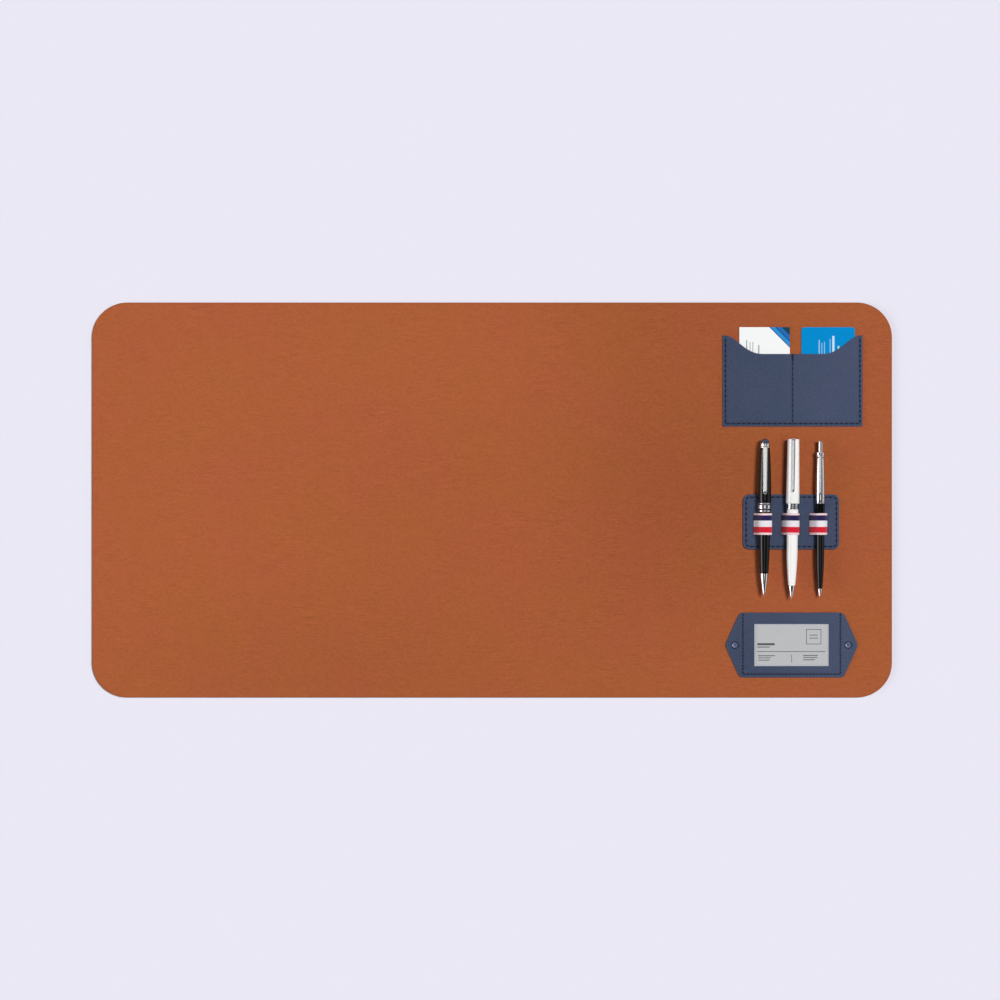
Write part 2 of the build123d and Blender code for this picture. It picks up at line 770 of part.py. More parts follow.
def white_pen():
    cone_top = white_reach + white_cone_length
    barrel_top = cone_top + white_barrel_length
    cone = [(white_reach, white_nose_radius), (cone_top, white_cone_radius)]
    waist = (cone_top + white_barrel_mid_length, white_barrel_mid_radius)
    barrel = bowed((cone_top, white_barrel_low_radius), waist, white_barrel_mid_swell)
    barrel.append((barrel_top, white_barrel_high_radius))
    pieces = twist_pen(
        cone, white_nose_land, white_spigot_radius, white_spigot_length, barrel, barrel_top
    )
    cap_base = barrel_top + twist_gap
    band_top = cap_base + white_band_length
    cap_top = band_top + white_cap_length
    edge = cap_top - white_cap_edge_round
    sleeve_radius = pen_bore_radius - running_gap
    sleeve_top = barrel_top - sleeve_overlap + sleeve_length
    pieces["cap"] = turned(
        [(cap_base, white_band_seat_radius), (band_top, white_band_seat_radius),
         (band_top, white_cap_low_radius), (edge, white_cap_high_radius),
         (cap_top, white_cap_high_radius - white_cap_edge_round,
          round_bow(white_cap_edge_round, white_cap_edge_round))],
        [(cap_base, sleeve_radius), (sleeve_top, sleeve_radius), (sleeve_top, 0), (cap_top, 0)],
    )
    low_bead = cap_base + white_band_bead_length
    high_bead = band_top - white_band_bead_length
    sunk = white_band_radius - white_band_groove
    pieces["band"] = turned(
        [(cap_base, white_band_radius), (low_bead, white_band_radius), (low_bead, sunk),
         (high_bead, sunk), (high_bead, white_band_radius), (band_top, white_band_radius)],
        [(cap_base, white_band_seat_radius), (band_top, white_band_seat_radius)],
    )
    pieces["clip"] = white_clip(cap_top)
    return {f"white_pen_{name}": white_place * piece for name, piece in pieces.items()}


def white_clip(cap_top):
    """A clip whose root folds over the cap's flat top to its middle."""
    tab = white_clip_tab_thickness
    edge = white_cap_high_radius
    end = cap_top - white_clip_length
    end_radius = white_cap_low_radius
    side = Polyline(
        (0, cap_top, 0), (0, cap_top + tab, 0), (0, cap_top + tab, edge + clip_lift),
        (0, cap_top, edge + clip_lift + clip_thickness),
        (0, end + clip_foot_length, end_radius + clip_lift + clip_thickness),
        (0, end, end_radius + clip_foot_gap + clip_thickness / 2),
        (0, end + clip_foot_length / 2, end_radius + clip_foot_gap),
        (0, end + 2 * clip_foot_length, end_radius + clip_lift),
        (0, cap_top, edge + clip_lift), close=True,
    )
    return narrowed(side, cap_top + tab, end, white_clip_width, white_clip_tip_width)


def click_pen():
    cone_top = click_cone_length
    spigot_top = cone_top + click_spigot_length
    front_bore_top = cone_top + click_front_bore_length
    barrel_mid = cone_top + click_barrel_mid_length
    barrel_top = cone_top + click_barrel_length
    cap_top = barrel_top + click_cap_length
    ring_top = cap_top + click_ring_length
    tube_bore = click_tube_radius + running_gap
    refill_bore = click_refill_radius + running_gap
    seat_radius = click_cap_bore_radius
    seat_top = barrel_top + click_cap_spigot_length
    pieces = {}
    pieces["cone"] = turned(
        [(0, click_nose_radius), (cone_top, click_cone_radius),
         (cone_top, click_spigot_radius), (spigot_top, click_spigot_radius)],
        [(0, click_nose_bore_radius), (click_nose_land, click_nose_bore_radius),
         (click_nose_land, tube_bore), (spigot_top, tube_bore)],
    )
    pieces["barrel"] = turned(
        bowed((cone_top, click_barrel_low_radius), (barrel_mid, click_barrel_mid_radius),
              click_barrel_mid_swell)
        + [(barrel_top, click_barrel_high_radius), (barrel_top, seat_radius),
           (seat_top, seat_radius)],
        [(cone_top, click_spigot_radius), (front_bore_top, click_spigot_radius),
         (front_bore_top, refill_bore), (seat_top, refill_bore)],
    )
    button_bore = click_button_radius + running_gap / 2
    room_top = cap_top - 2 * click_flange_drop
    flange_top = room_top - click_flange_drop
    flange_base = flange_top - click_flange_length
    pieces["cap"] = turned(
        bowed((barrel_top, click_cap_low_radius), (cap_top, click_cap_high_radius), click_cap_swell),
        [(barrel_top, seat_radius), (room_top, seat_radius), (room_top, button_bore),
         (cap_top, button_bore)],
    )
    ring = turned(
        [(cap_top, click_ring_radius), (ring_top, click_ring_radius)],
        [(cap_top, button_bore), (ring_top, button_bore)],
    )
    arm = clip_arm(
        (cap_top + ring_top) / 2, click_ring_length, click_ring_radius,
        click_clip_length + click_ring_length, click_cap_low_radius,
        click_clip_width, click_clip_tip_width,
    )
    pieces["clip"] = ring + arm
    button_top = ring_top + click_button_length
    pieces["button"] = turned([
        (click_refill_end, click_refill_radius), (flange_base, click_refill_radius),
        (flange_base, click_flange_radius), (flange_top, click_flange_radius),
        (flange_top, click_button_radius),
        (button_top - click_button_round, click_button_radius),
        (button_top, click_button_radius - click_button_round,
         round_bow(click_button_round, click_button_round)),
    ])
    pieces["refill"] = turned([
        (click_point_recess, click_point_radius),
        (click_point_recess + click_point_taper, click_nose_bore_radius - running_gap),
        (click_nose_land + click_travel + running_gap, click_nose_bore_radius - running_gap),
        (click_nose_land + click_travel + running_gap, click_tube_radius),
        (click_refill_front, click_tube_radius), (click_refill_front, click_refill_radius),
        (click_refill_end, click_refill_radius),
    ])
    pieces["spring"] = click_spring(spigot_top, click_refill_front)
    return {f"click_pen_{name}": click_place * piece for name, piece in pieces.items()}


def click_spring(low, high):
    """An open coil between the cone's spigot and the refill's shoulder."""
    wire = click_spring_wire_radius
    start, end = low + wire, high - wire
    pitch = (end - start) / click_spring_turns
    path = Helix(pitch, end - start, click_spring_radius, (0, start, 0), (0, 1, 0))
    section = Plane(path @ 0, z_dir=path % 0) * RegularPolygon(wire, 4)
    return sweep(section, path, is_frenet=True)


def main():
    os.makedirs("parts", exist_ok=True)
    nodes = {**desk_pad(), **card_pocket(), **cards(), **pen_patch(), **name_tag(), **tag_rivets()}
    nodes.update({
        "pen_loop_left": pen_loop(black_place, black_barrel_high_radius),
        "pen_loop_middle": pen_loop(white_place, white_barrel_high_radius),
        "pen_loop_right": pen_loop(click_place, click_barrel_high_radius),
    })
    nodes.update(black_pen())
    nodes.update(white_pen())
    nodes.update(click_pen())
    for name, shape in nodes.items():
        export_step(shape, f"parts/{name}.step")
        print(name, len(shape.solids()), round(shape.volume, 1))


main()
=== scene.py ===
import math
import bpy
import numpy as np
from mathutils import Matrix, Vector


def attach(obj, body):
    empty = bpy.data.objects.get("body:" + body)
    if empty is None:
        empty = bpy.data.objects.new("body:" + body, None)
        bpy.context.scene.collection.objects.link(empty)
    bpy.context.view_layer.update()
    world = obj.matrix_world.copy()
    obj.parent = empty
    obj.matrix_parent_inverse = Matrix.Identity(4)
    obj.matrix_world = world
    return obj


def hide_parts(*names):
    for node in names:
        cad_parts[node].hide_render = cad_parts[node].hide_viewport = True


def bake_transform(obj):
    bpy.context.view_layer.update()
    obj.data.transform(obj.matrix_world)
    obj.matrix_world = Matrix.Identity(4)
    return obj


# A leather desk pad seen from straight above. Sizes are in millimetres until a mesh is made,
# and the finishes measure in metres.
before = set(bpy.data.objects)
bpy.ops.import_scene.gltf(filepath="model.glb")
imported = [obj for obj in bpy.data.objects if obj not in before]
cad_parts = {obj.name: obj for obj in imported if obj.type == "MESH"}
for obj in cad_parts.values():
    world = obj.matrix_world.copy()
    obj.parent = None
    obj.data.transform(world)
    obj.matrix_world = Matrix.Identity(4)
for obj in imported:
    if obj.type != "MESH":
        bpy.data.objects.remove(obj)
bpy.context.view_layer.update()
mm = 0.001


# ---- colours
def linear(colour):
    # screen values from 0 to 255 as light: the usual curve, straight near black
    share = np.array(colour, float) / 255
    return tuple(np.where(share <= 0.04045, share / 12.92, ((share + 0.055) / 1.055) ** 2.4))


def rgba(colour):
    return (*linear(colour), 1.0)


# ---- shader maths
def operators(operation):
    # an operator's two forms: with this socket first, and with this socket second
    def ahead(wire, other):
        return wire.bench.maths(operation, wire, other)

    def behind(wire, other):
        return wire.bench.maths(operation, other, wire)

    return ahead, behind


class Wire:
    # a socket that can stand in a sum: each operator adds one Math node
    __add__, __radd__ = operators("ADD")
    __sub__, __rsub__ = operators("SUBTRACT")
    __mul__, __rmul__ = operators("MULTIPLY")
    __pow__ = operators("POWER")[0]
    __gt__ = operators("GREATER_THAN")[0]
    __lt__ = operators("LESS_THAN")[0]

    def __init__(self, bench, socket):
        self.bench = bench
        self.socket = socket


class Bench:
    # one node tree and the ways to add to it
    def __init__(self, tree):
        self.tree = tree
        tree.nodes.clear()

    def add(self, kind, settings=None, sockets=None, output=0):
        node = self.tree.nodes.new(kind)
        for name, value in (settings or {}).items():
            setattr(node, name, value)
        for name, value in (sockets or {}).items():
            if isinstance(value, Wire):
                self.tree.links.new(value.socket, node.inputs[name])
            else:
                node.inputs[name].default_value = value
        return Wire(self, node.outputs[output]) if node.outputs else None

    def maths(self, operation, first, second=0.0):
        return self.add("ShaderNodeMath", {"operation": operation}, {0: first, 1: second})

    def point(self):
        return self.add("ShaderNodeTexCoord", output="Object")

    def uv(self):
        return self.add("ShaderNodeTexCoord", output="UV")

    def split(self, vector):
        parts = self.add("ShaderNodeSeparateXYZ", sockets={0: vector})
        outputs = parts.socket.node.outputs
        return Wire(self, outputs[0]), Wire(self, outputs[1]), Wire(self, outputs[2])

    def stretched(self, vector, scale, turn=0.0):
        return self.add(
            "ShaderNodeMapping", {},
            {"Vector": vector, "Scale": scale, "Rotation": (0.0, 0.0, math.radians(turn))},
        )

    def noise(self, vector, scale, detail=2.0, roughness=0.5):
        return self.add(
            "ShaderNodeTexNoise", {"normalize": True},
            {"Vector": vector, "Scale": scale, "Detail": detail, "Roughness": roughness},
        )

    def cells(self, vector, scale):
        return self.add(
            "ShaderNodeTexVoronoi", {"feature": "SMOOTH_F1"}, {"Vector": vector, "Scale": scale},
            "Distance",
        )

    def smooth(self, value, low, high):
        return self.add(
            "ShaderNodeMapRange", {"interpolation_type": "SMOOTHSTEP"},
            {"Value": value, "From Min": low, "From Max": high},
        )

    def mark(self, name):
        return self.add("ShaderNodeAttribute", {"attribute_name": name}, output=2)

    def blend(self, share, first, second):
        return self.add(
            "ShaderNodeMix", {"data_type": "RGBA", "blend_type": "MIX"},
            {0: share, 6: first, 7: second}, 2,
        )

    def shade(self, colour, level):
        # a colour made lighter or darker by a level about 1
        colour = colour if isinstance(colour, Wire) else colour[:3]
        grey = self.add("ShaderNodeCombineXYZ", sockets={0: level, 1: level, 2: level})
        return self.add("ShaderNodeVectorMath", {"operation": "MULTIPLY"}, {0: colour, 1: grey})

    def bump(self, height, strength, distance):
        return self.add(
            "ShaderNodeBump", {},
            {"Height": height, "Strength": strength, "Distance": distance * mm}, "Normal",
        )


def newFinish(name):
    material = bpy.data.materials.new(name)
    material.use_nodes = True
    return material, Bench(material.node_tree)


def finishWith(bench, sockets):
    shader = bench.add("ShaderNodeBsdfPrincipled", {}, sockets)
    bench.add("ShaderNodeOutputMaterial", {}, {"Surface": shader})


# ---- finishes
tanLook = {
    "colour": (168, 91, 53), "deep": (167, 92, 51), "pale": (169, 89, 55), "rim": (150, 86, 48),
    "cloudScale": 9.0, "cloudShare": 0.8,
    "streakScale": 880.0, "streakStretch": (0.09, 1.0, 1.0), "streakShade": 0.46,
    "grainScale": 760.0, "grainStretch": (0.55, 1.0, 1.0), "creaseShadow": 0.09,
    "foldScale": 130.0, "foldShade": 0.05, "patchScale": 22.0, "bump": 0.45,
    "bumpDepth": 0.14, "roughness": 0.50, "roughRange": 0.12, "specular": 0.3,
    # painted light and shade: the drift along X and the pools make parts of the pad lighter or
    # darker where more or less light falls
    "lightDrift": ((-0.34, 0.0, -0.06), (0.0, 0.18, -0.095), (0.21, 0.39, 0.08)), "start": 1.09,
    "lightPools": (
        (0.20, 0.01, 0.11, 0.08, -0.06), (-0.20, -0.17, 0.22, 0.07, -0.08),
        (0.21, -0.19, 0.12, 0.08, 0.09), (-0.06, 0.15, 0.15, 0.08, 0.05),
    ),
}
navyLook = {
    "colour": (69, 79, 103), "deep": (66, 77, 101), "pale": (72, 81, 105), "rim": (72, 82, 106),
    "cloudScale": 16.0, "cloudShare": 0.7,
    "streakScale": 600.0, "streakStretch": (0.5, 1.0, 1.0), "streakShade": 0.12,
    "grainScale": 1150.0, "grainStretch": (0.85, 1.0, 1.0), "creaseShadow": 0.15,
    "foldScale": 90.0, "foldShade": 0.03, "patchScale": 60.0, "bump": 0.40,
    "bumpDepth": 0.10, "roughness": 0.52, "roughRange": 0.10, "specular": 0.3,
    # painted light: the drift makes the pieces lighter to the right, towards the light
    "lightDrift": ((0.25, 0.35, 0.13),), "start": 0.93, "lightPools": (),
}
# what both leathers share: S curves on the noises, the least of the streaks, the grain's bend,
# how much the pressed edges count and how much painted shade darkens the seams
leatherMix = {
    "cloud": (0.34, 0.66), "crease": (0.30, 0.62), "patch": (0.42, 0.62), "streakLeast": 0.12,
    "bendScale": 500.0, "bend": (0.0012, 0.0012, 0.0), "rim": 0.75, "seam": 0.3,
    "streakHeight": 0.8, "foldHeight": 1.5, "creaseRoughness": 0.10,
}


def leather(name, look, mix):
    # pebbles of grain with creases between them, from the distance to the nearest cell middle, with
    # painted shade that darkens the creases; fine streaks along X that come and go in patches; soft
    # clouds of tone; painted light and shade as the light falls unevenly over the leather: a drift
    # along X, where each (from, to, change) is an S curve, and pools, where each
    # (x, y, width, height, change) is a bell, change * exp(-(dx / width)^2 - (dy / height)^2); and
    # painted shade along the pressed seams
    material, bench = newFinish(name)
    point = bench.point()
    cloud = bench.noise(point, look["cloudScale"], 3.0, 0.55)
    colour = bench.blend(bench.smooth(cloud, *mix["cloud"]), rgba(look["deep"]), rgba(look["pale"]))
    colour = bench.blend(1 - look["cloudShare"], colour, rgba(look["colour"]))
    streak = bench.noise(
        bench.stretched(point, look["streakStretch"]), look["streakScale"], 2.0, 0.6
    )
    wander = bench.add("ShaderNodeTexNoise", {}, {"Vector": point, "Scale": mix["bendScale"]}, 1)
    bent = bench.add(
        "ShaderNodeVectorMath", {"operation": "MULTIPLY_ADD"}, {0: wander, 1: mix["bend"], 2: point}
    )
    grain = bench.cells(bench.stretched(bent, look["grainStretch"]), look["grainScale"])
    crease = bench.smooth(grain, *mix["crease"])
    fold = bench.noise(bench.stretched(point, (0.5, 1.0, 1.0), 8.0), look["foldScale"], 3.0, 0.6)
    patches = bench.smooth(bench.noise(point, look["patchScale"], 2.0, 0.6), *mix["patch"])
    fine = (streak - 0.5) * (mix["streakLeast"] + patches * (1 - mix["streakLeast"]))
    # painted shade: the grain's creases are darkened in colour, besides their bump
    level = look["start"] + fine * look["streakShade"] - crease * look["creaseShadow"]
    level = level + (fold - 0.5) * look["foldShade"]
    along, across, _ = bench.split(point)
    # painted light and shade: a drift along X, then pools
    for start, end, change in look["lightDrift"]:
        level = level + bench.smooth(along, start, end) * change
    for x, y, width, height, change in look["lightPools"]:
        away = ((along - x) * (1 / width)) ** 2 + ((across - y) * (1 / height)) ** 2
        level = level + bench.maths("EXPONENT", away * -1) * change
    colour = bench.shade(colour, level)
    colour = bench.blend(bench.mark("rim") * mix["rim"], colour, rgba(look["rim"]))
    # painted shade: the colour darkens along the pressed seams
    colour = bench.shade(colour, 1 - bench.mark("seam") * mix["seam"])
    height = 1 - crease + fine * mix["streakHeight"] + (fold - 0.5) * mix["foldHeight"]
    rough = look["roughness"] + (cloud - 0.5) * look["roughRange"] + crease * mix["creaseRoughness"]
    finishWith(bench, {
        "Base Color": colour, "Roughness": rough, "Specular IOR Level": look["specular"],
        "Normal": bench.bump(height, look["bump"], look["bumpDepth"]),
    })
    return material


suedeLook = {
    "colour": (112, 74, 50), "pale": (134, 92, 66), "napScale": 900.0, "napLeast": 0.75,
    "napRange": 0.5, "patchScale": 30.0, "patchStretch": (1.0, 0.6, 1.0), "patchTurn": 20.0,
    "patch": (0.35, 0.65), "roughness": 0.95, "specular": 0.15, "sheen": 0.3,
    "bump": 0.6, "bumpDepth": 0.25,
}


def suede(name, look):
    # a short nap: fine noise for the fibres, broad noise for where the nap was stroked
    material, bench = newFinish(name)
    point = bench.point()
    nap = bench.noise(point, look["napScale"], 4.0, 0.7)
    stroked = bench.stretched(point, look["patchStretch"], look["patchTurn"])
    stroked = bench.noise(stroked, look["patchScale"])
    share = bench.smooth(stroked, *look["patch"])
    colour = bench.blend(share, rgba(look["colour"]), rgba(look["pale"]))
    finishWith(bench, {
        "Base Color": bench.shade(colour, look["napLeast"] + nap * look["napRange"]),
        "Roughness": look["roughness"], "Specular IOR Level": look["specular"],
        "Sheen Weight": look["sheen"],
        "Normal": bench.bump(nap, look["bump"], look["bumpDepth"]),
    })
    return material


boardLook = {
    "colour": (150, 132, 112), "fleck": (104, 88, 72), "scale": 700.0,
    "stretch": (1.0, 1.0, 4.0), "flecks": (0.38, 0.62), "roughness": 0.9, "specular": 0.2,
    "bump": 0.5, "bumpDepth": 0.1,
}


def board(name, look):
    # pressed fibre: flecks drawn out along the sheet
    material, bench = newFinish(name)
    point = bench.stretched(bench.point(), look["stretch"])
    fibre = bench.noise(point, look["scale"], 4.0, 0.7)
    share = bench.smooth(fibre, *look["flecks"])
    finishWith(bench, {
        "Base Color": bench.blend(share, rgba(look["colour"]), rgba(look["fleck"])),
        "Roughness": look["roughness"], "Specular IOR Level": look["specular"],
        "Normal": bench.bump(fibre, look["bump"], look["bumpDepth"]),
    })
    return material


threadLook = {
    "colour": (7, 10, 36), "pale": (17, 22, 60), "plies": 5.0, "plyCrestLight": 0.7,
    "fuzzScale": 4000.0, "roughness": 0.6, "specular": 0.3, "sheen": 0.2,
    "bump": 0.7, "bumpDepth": 0.12,
}


def thread(name, look):
    # two plies laid round each other: slanting bands on the stitch's own map, with painted light
    # and shade, each ply's crest paler and the groove between plies darker
    material, bench = newFinish(name)
    along, around, _ = bench.split(bench.uv())
    ply = bench.maths("SINE", (along * look["plies"] + around * 2.0) * (2 * math.pi)) * 0.5 + 0.5
    fuzz = bench.noise(bench.point(), look["fuzzScale"])
    # painted light and shade: pale on the plies' crests, dark in the grooves between them
    tone = ply * look["plyCrestLight"] + (fuzz - 0.5)
    finishWith(bench, {
        "Base Color": bench.blend(tone, rgba(look["colour"]), rgba(look["pale"])),
        "Roughness": look["roughness"], "Specular IOR Level": look["specular"],
        "Sheen Weight": look["sheen"],
        "Normal": bench.bump(ply, look["bump"], look["bumpDepth"]),
    })
    return material


elasticLook = {
    "edge": (250, 220, 226), "navy": (40, 32, 80), "white": (245, 241, 247), "red": (222, 32, 54),
    "bands": (2.15, 7.95, 14.2, 19.5),  # where each band ends across the width, from the low edge
    "bandBlur": 0.2, "fray": 0.5, "frayScale": 1500.0,
    "ribs": 56.0, "threads": 34.0, "yarnScale": 1200.0,
    "tone": 0.80, "ribCrestLight": 0.16, "strandCrestLight": 0.08, "yarnTone": 0.25,
    "ribHeight": 0.6, "threadHeight": 0.5, "yarnHeight": 0.3,
    "roughness": 0.8, "specular": 0.25, "sheen": 0.25, "bump": 0.6, "bumpDepth": 0.12,
}


def elastic(name, look, width):
    # five woven bands across the width and ribs across the length, with painted light and shade on
    # the weave, the crests of ribs and threads paler than the hollows, and random tone in the yarn
    material, bench = newFinish(name)
    along, across, _ = bench.split(bench.uv())
    fray = (bench.noise(bench.point(), look["frayScale"], 1.0) - 0.5) * look["fray"]
    reach = across * width + fray
    order = (look["edge"], look["red"], look["white"], look["navy"], look["edge"])
    colour = rgba(order[0])
    for place, band in zip(look["bands"], order[1:]):
        share = bench.smooth(reach, place - look["bandBlur"], place + look["bandBlur"])
        colour = bench.blend(share, colour, rgba(band))
    rib = bench.maths("SINE", along * (2 * math.pi * look["ribs"])) * 0.5 + 0.5
    strand = bench.maths("SINE", across * (2 * math.pi * look["threads"])) * 0.5 + 0.5
    yarn = bench.noise(bench.point(), look["yarnScale"])
    # painted light and shade: the crests of ribs and threads are paler
    tone = look["tone"] + rib * look["ribCrestLight"] + strand * look["strandCrestLight"]
    height = rib * look["ribHeight"] + strand * look["threadHeight"]
    height = height + yarn * look["yarnHeight"]
    finishWith(bench, {
        "Base Color": bench.shade(colour, tone + (yarn - 0.5) * look["yarnTone"]),
        "Roughness": look["roughness"], "Specular IOR Level": look["specular"],
        "Sheen Weight": look["sheen"],
        "Normal": bench.bump(height, look["bump"], look["bumpDepth"]),
    })
    return material


def resin(name, colour, roughness=0.12, coat=0.6, flow=0.06, specular=0.5):
    # polished plastic: a faint waviness under a clear coat, and hairline wear
    material, bench = newFinish(name)
    point = bench.point()
    wave = bench.noise(point, 60.0, 2.0)
    hair = bench.noise(bench.stretched(point, (1.0, 0.05, 1.0)), 2600.0, 2.0)
    finishWith(bench, {
        "Base Color": bench.shade(rgba(colour), 1 - flow / 2 + wave * flow),
        "Roughness": roughness + (hair - 0.5) * 0.06,
        "Specular IOR Level": specular, "Coat Weight": coat, "Coat Roughness": 0.04,
        "Normal": bench.bump(wave * 0.3 + hair * 0.02, 0.05, 0.3),
    })
    return material


def metal(name, colour, roughness, brush=0.0, along="y", tarnish=0.1):
    # turned metal: fine lines round it or along it, and a little uneven tone
    material, bench = newFinish(name)
    point = bench.point()
    stretch = {"y": (1.0, 0.03, 1.0), "round": (0.05, 1.0, 0.05), "none": (1.0, 1.0, 1.0)}[along]
    line = bench.noise(bench.stretched(point, stretch), 3000.0, 2.0)
    tone = bench.noise(point, 120.0, 2.0)
    finishWith(bench, {
        "Base Color": bench.shade(rgba(colour), 1 - tarnish / 2 + tone * tarnish),
        "Metallic": 1.0,
        "Roughness": roughness + (line - 0.5) * brush * 0.4 + (tone - 0.5) * 0.05,
        "Normal": bench.bump(line, brush * 0.4, 0.05),
    })
    return material


filmLook = {
    "colour": (214, 220, 232), "cloudScale": 45.0, "roughness": 0.10, "roughRange": 0.08,
    "alpha": 0.05, "cloudAlpha": 0.04, "edgeGlintAlpha": 0.55, "bump": 0.15, "bumpDepth": 0.4,
}


def film(name, look):
    # soft clear plastic: nearly invisible face on, with a faint cloud and a painted highlight, a
    # pale edge
    material, bench = newFinish(name)
    cloud = bench.noise(bench.point(), look["cloudScale"], 3.0)
    # painted highlight: the film turns pale and less clear along the window's edge
    alpha = look["alpha"] + cloud * look["cloudAlpha"] + bench.mark("rim") * look["edgeGlintAlpha"]
    finishWith(bench, {
        "Base Color": rgba(look["colour"]), "Alpha": alpha, "Specular IOR Level": 0.5,
        "Roughness": look["roughness"] + cloud * look["roughRange"],
        "Normal": bench.bump(cloud, look["bump"], look["bumpDepth"]),
    })
    return material


# ---- printed cards: every mark is a bar, a band or a line in the card's own place
def insideBox(bench, x, y, box):
    # 1 inside a box of left, right, low and high, in millimetres
    left, right, low, high = (edge * mm for edge in box)
    return (x > left) * (x < right) * (y > low) * (y < high)


def paper(name, colour, bars, ink, bands=(), slant=1.0):
    # bars are (left, right, low, high, strength); bands are (start, end, colour) along a slant,
    # where the run is x + y * slant; all are in millimetres
    material, bench = newFinish(name)
    point = bench.point()
    x, y, _ = bench.split(point)
    fibre = bench.noise(point, 900.0, 3.0, 0.6)
    shade = bench.shade(rgba(colour), 0.98 + fibre * 0.04)
    run = (x + y * slant) * 1000.0
    for start, end, tint in bands:
        shade = bench.blend((run > start) * (run < end), shade, rgba(tint))
    for *box, strength in bars:
        shade = bench.blend(insideBox(bench, x, y, box) * strength, shade, rgba(ink))
    finishWith(bench, {
        "Base Color": shade, "Roughness": 0.5 + fibre * 0.1, "Specular IOR Level": 0.2,
        "Normal": bench.bump(fibre, 0.1, 0.05),
    })
    return material


def putPiece(name, points, faces, finish, node, body="desk_pad", uv=None, marks=None, crisp=40.0):
    # points in millimetres, faces as arrays of point numbers; a piece takes the place of one CAD
    # node and rides on one body, or on none
    used = np.unique(np.concatenate([group.ravel() for group in faces]))
    rows = [row for group in faces for row in np.searchsorted(used, group).tolist()]
    mesh = bpy.data.meshes.new(name)
    mesh.from_pydata((points[used] * mm).tolist(), [], rows)
    if uv is not None:
        layer = mesh.uv_layers.new(name="UVMap")
        layer.data.foreach_set("uv", np.asarray(uv, np.float32).ravel())
    for mark, values in (marks or {}).items():
        attribute = mesh.attributes.new(mark, "FLOAT", "POINT")
        attribute.data.foreach_set("value", values.ravel()[used].astype(np.float32))
    mesh.materials.append(finish)
    mesh.validate()
    mesh.shade_smooth()
    mesh.set_sharp_from_angle(angle=math.radians(crisp))
    piece = bpy.data.objects.new(name, mesh)
    bpy.context.scene.collection.objects.link(piece)
    if body:
        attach(piece, body)
    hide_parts(node)
    return piece


def gridFaces(rows, columns, wrapRows=False, wrapColumns=False):
    # four numbers for each cell of a grid of points, and the cell's corners as shares of the grid
    rowCount = rows if wrapRows else rows - 1
    columnCount = columns if wrapColumns else columns - 1
    row, column = np.meshgrid(np.arange(rowCount), np.arange(columnCount), indexing="ij")
    corners = [(row, column), (row, column + 1), (row + 1, column + 1), (row + 1, column)]
    faces = [(r % rows) * columns + c % columns for r, c in corners]
    shares = [np.stack([r / rowCount, c / columnCount], -1) for r, c in corners]
    return np.stack(faces, -1).reshape(-1, 4), np.stack(shares, 2).reshape(-1, 4, 2)


def spaced(marks, coarse, fine, reach):
    # places from the first mark to the last, with every mark among them: the step between
    # places grows from fine at a mark to coarse further away, as a bell curve as wide as reach
    places = [marks[0]]
    for start, end in zip(marks, marks[1:]):
        along = np.linspace(start, end, 500)
        gap = np.minimum(along - start, end - along)
        density = 1 / coarse + (1 / fine - 1 / coarse) * groove(gap, reach)
        steps = (density[1:] + density[:-1]) / 2 * np.diff(along)
        total = np.concatenate([[0.0], np.cumsum(steps)])
        count = max(1, math.ceil(total[-1]))
        places.extend(np.interp(np.linspace(0, total[-1], count + 1)[1:], total, along))
    return np.array(places)


def rise(value, low, high):
    # an S curve from 0 at low to 1 at high
    share = np.clip((value - low) / (high - low), 0, 1)
    return share * share * (3 - 2 * share)


def fallenEdge(distance, radius):
    # how far a rounded edge has dropped at a distance in from it: a quarter circle
    inward = np.clip(radius - distance, 0, radius)
    return radius - np.sqrt(radius**2 - inward**2)


def groove(distance, width):
    # 1 in the middle of a seam and falling away on both sides as a bell curve
    return np.exp(-((distance / width) ** 2))


def near(distance, reach):
    # 1 on a line and falling away on both sides of it, as exp(-distance / reach)
    return np.exp(-np.abs(distance) / reach)


def sway(run, pitch):
    # 0 where one stitch ends and the next starts, and 1 in the middle of a stitch, as a cosine
    return 0.5 - 0.5 * np.cos(2 * math.pi * run / pitch)


def mirrored(marks):
    # the same places on both sides of zero, in order
    return sorted({side * mark for mark in marks for side in (-1, 1)})


def cornerBends(half, corner, turns=(12, 25, 38, 50, 61, 71, 80, 86)):
    # the places that a round corner needs, at these angles of its circle
    return half - corner + corner * np.sin(np.radians(turns))


def cellMiddles(values):
    return (values[:-1, :-1] + values[1:, 1:]) / 2


def outsideBox(x, y, halfX, halfY):
    # how far outside a plain rectangle a point is, and 0 inside it
    return np.hypot(np.maximum(np.abs(x) - halfX, 0), np.maximum(np.abs(y) - halfY, 0))


def roundedBox(look, columns, rows):
    # a grid over a rounded rectangle, x as given and y = row * half height there / half height,
    # and how far inside it each point is, by its corner circles and straight sides
    halfX, halfY, corner = look["halfX"], look["halfY"], look["corner"]
    beside = np.clip(np.abs(columns) - halfX + corner, 0, corner)
    height = halfY - corner + np.sqrt(corner**2 - beside**2)
    x, row = np.meshgrid(columns, rows)
    y = row * (height / halfY)[None, :]
    beyond = np.maximum(np.abs(x) - halfX + corner, np.abs(y) - halfY + corner)
    outside = outsideBox(x, y, halfX - corner, halfY - corner)
    return x, y, corner - outside - np.minimum(beyond, 0)


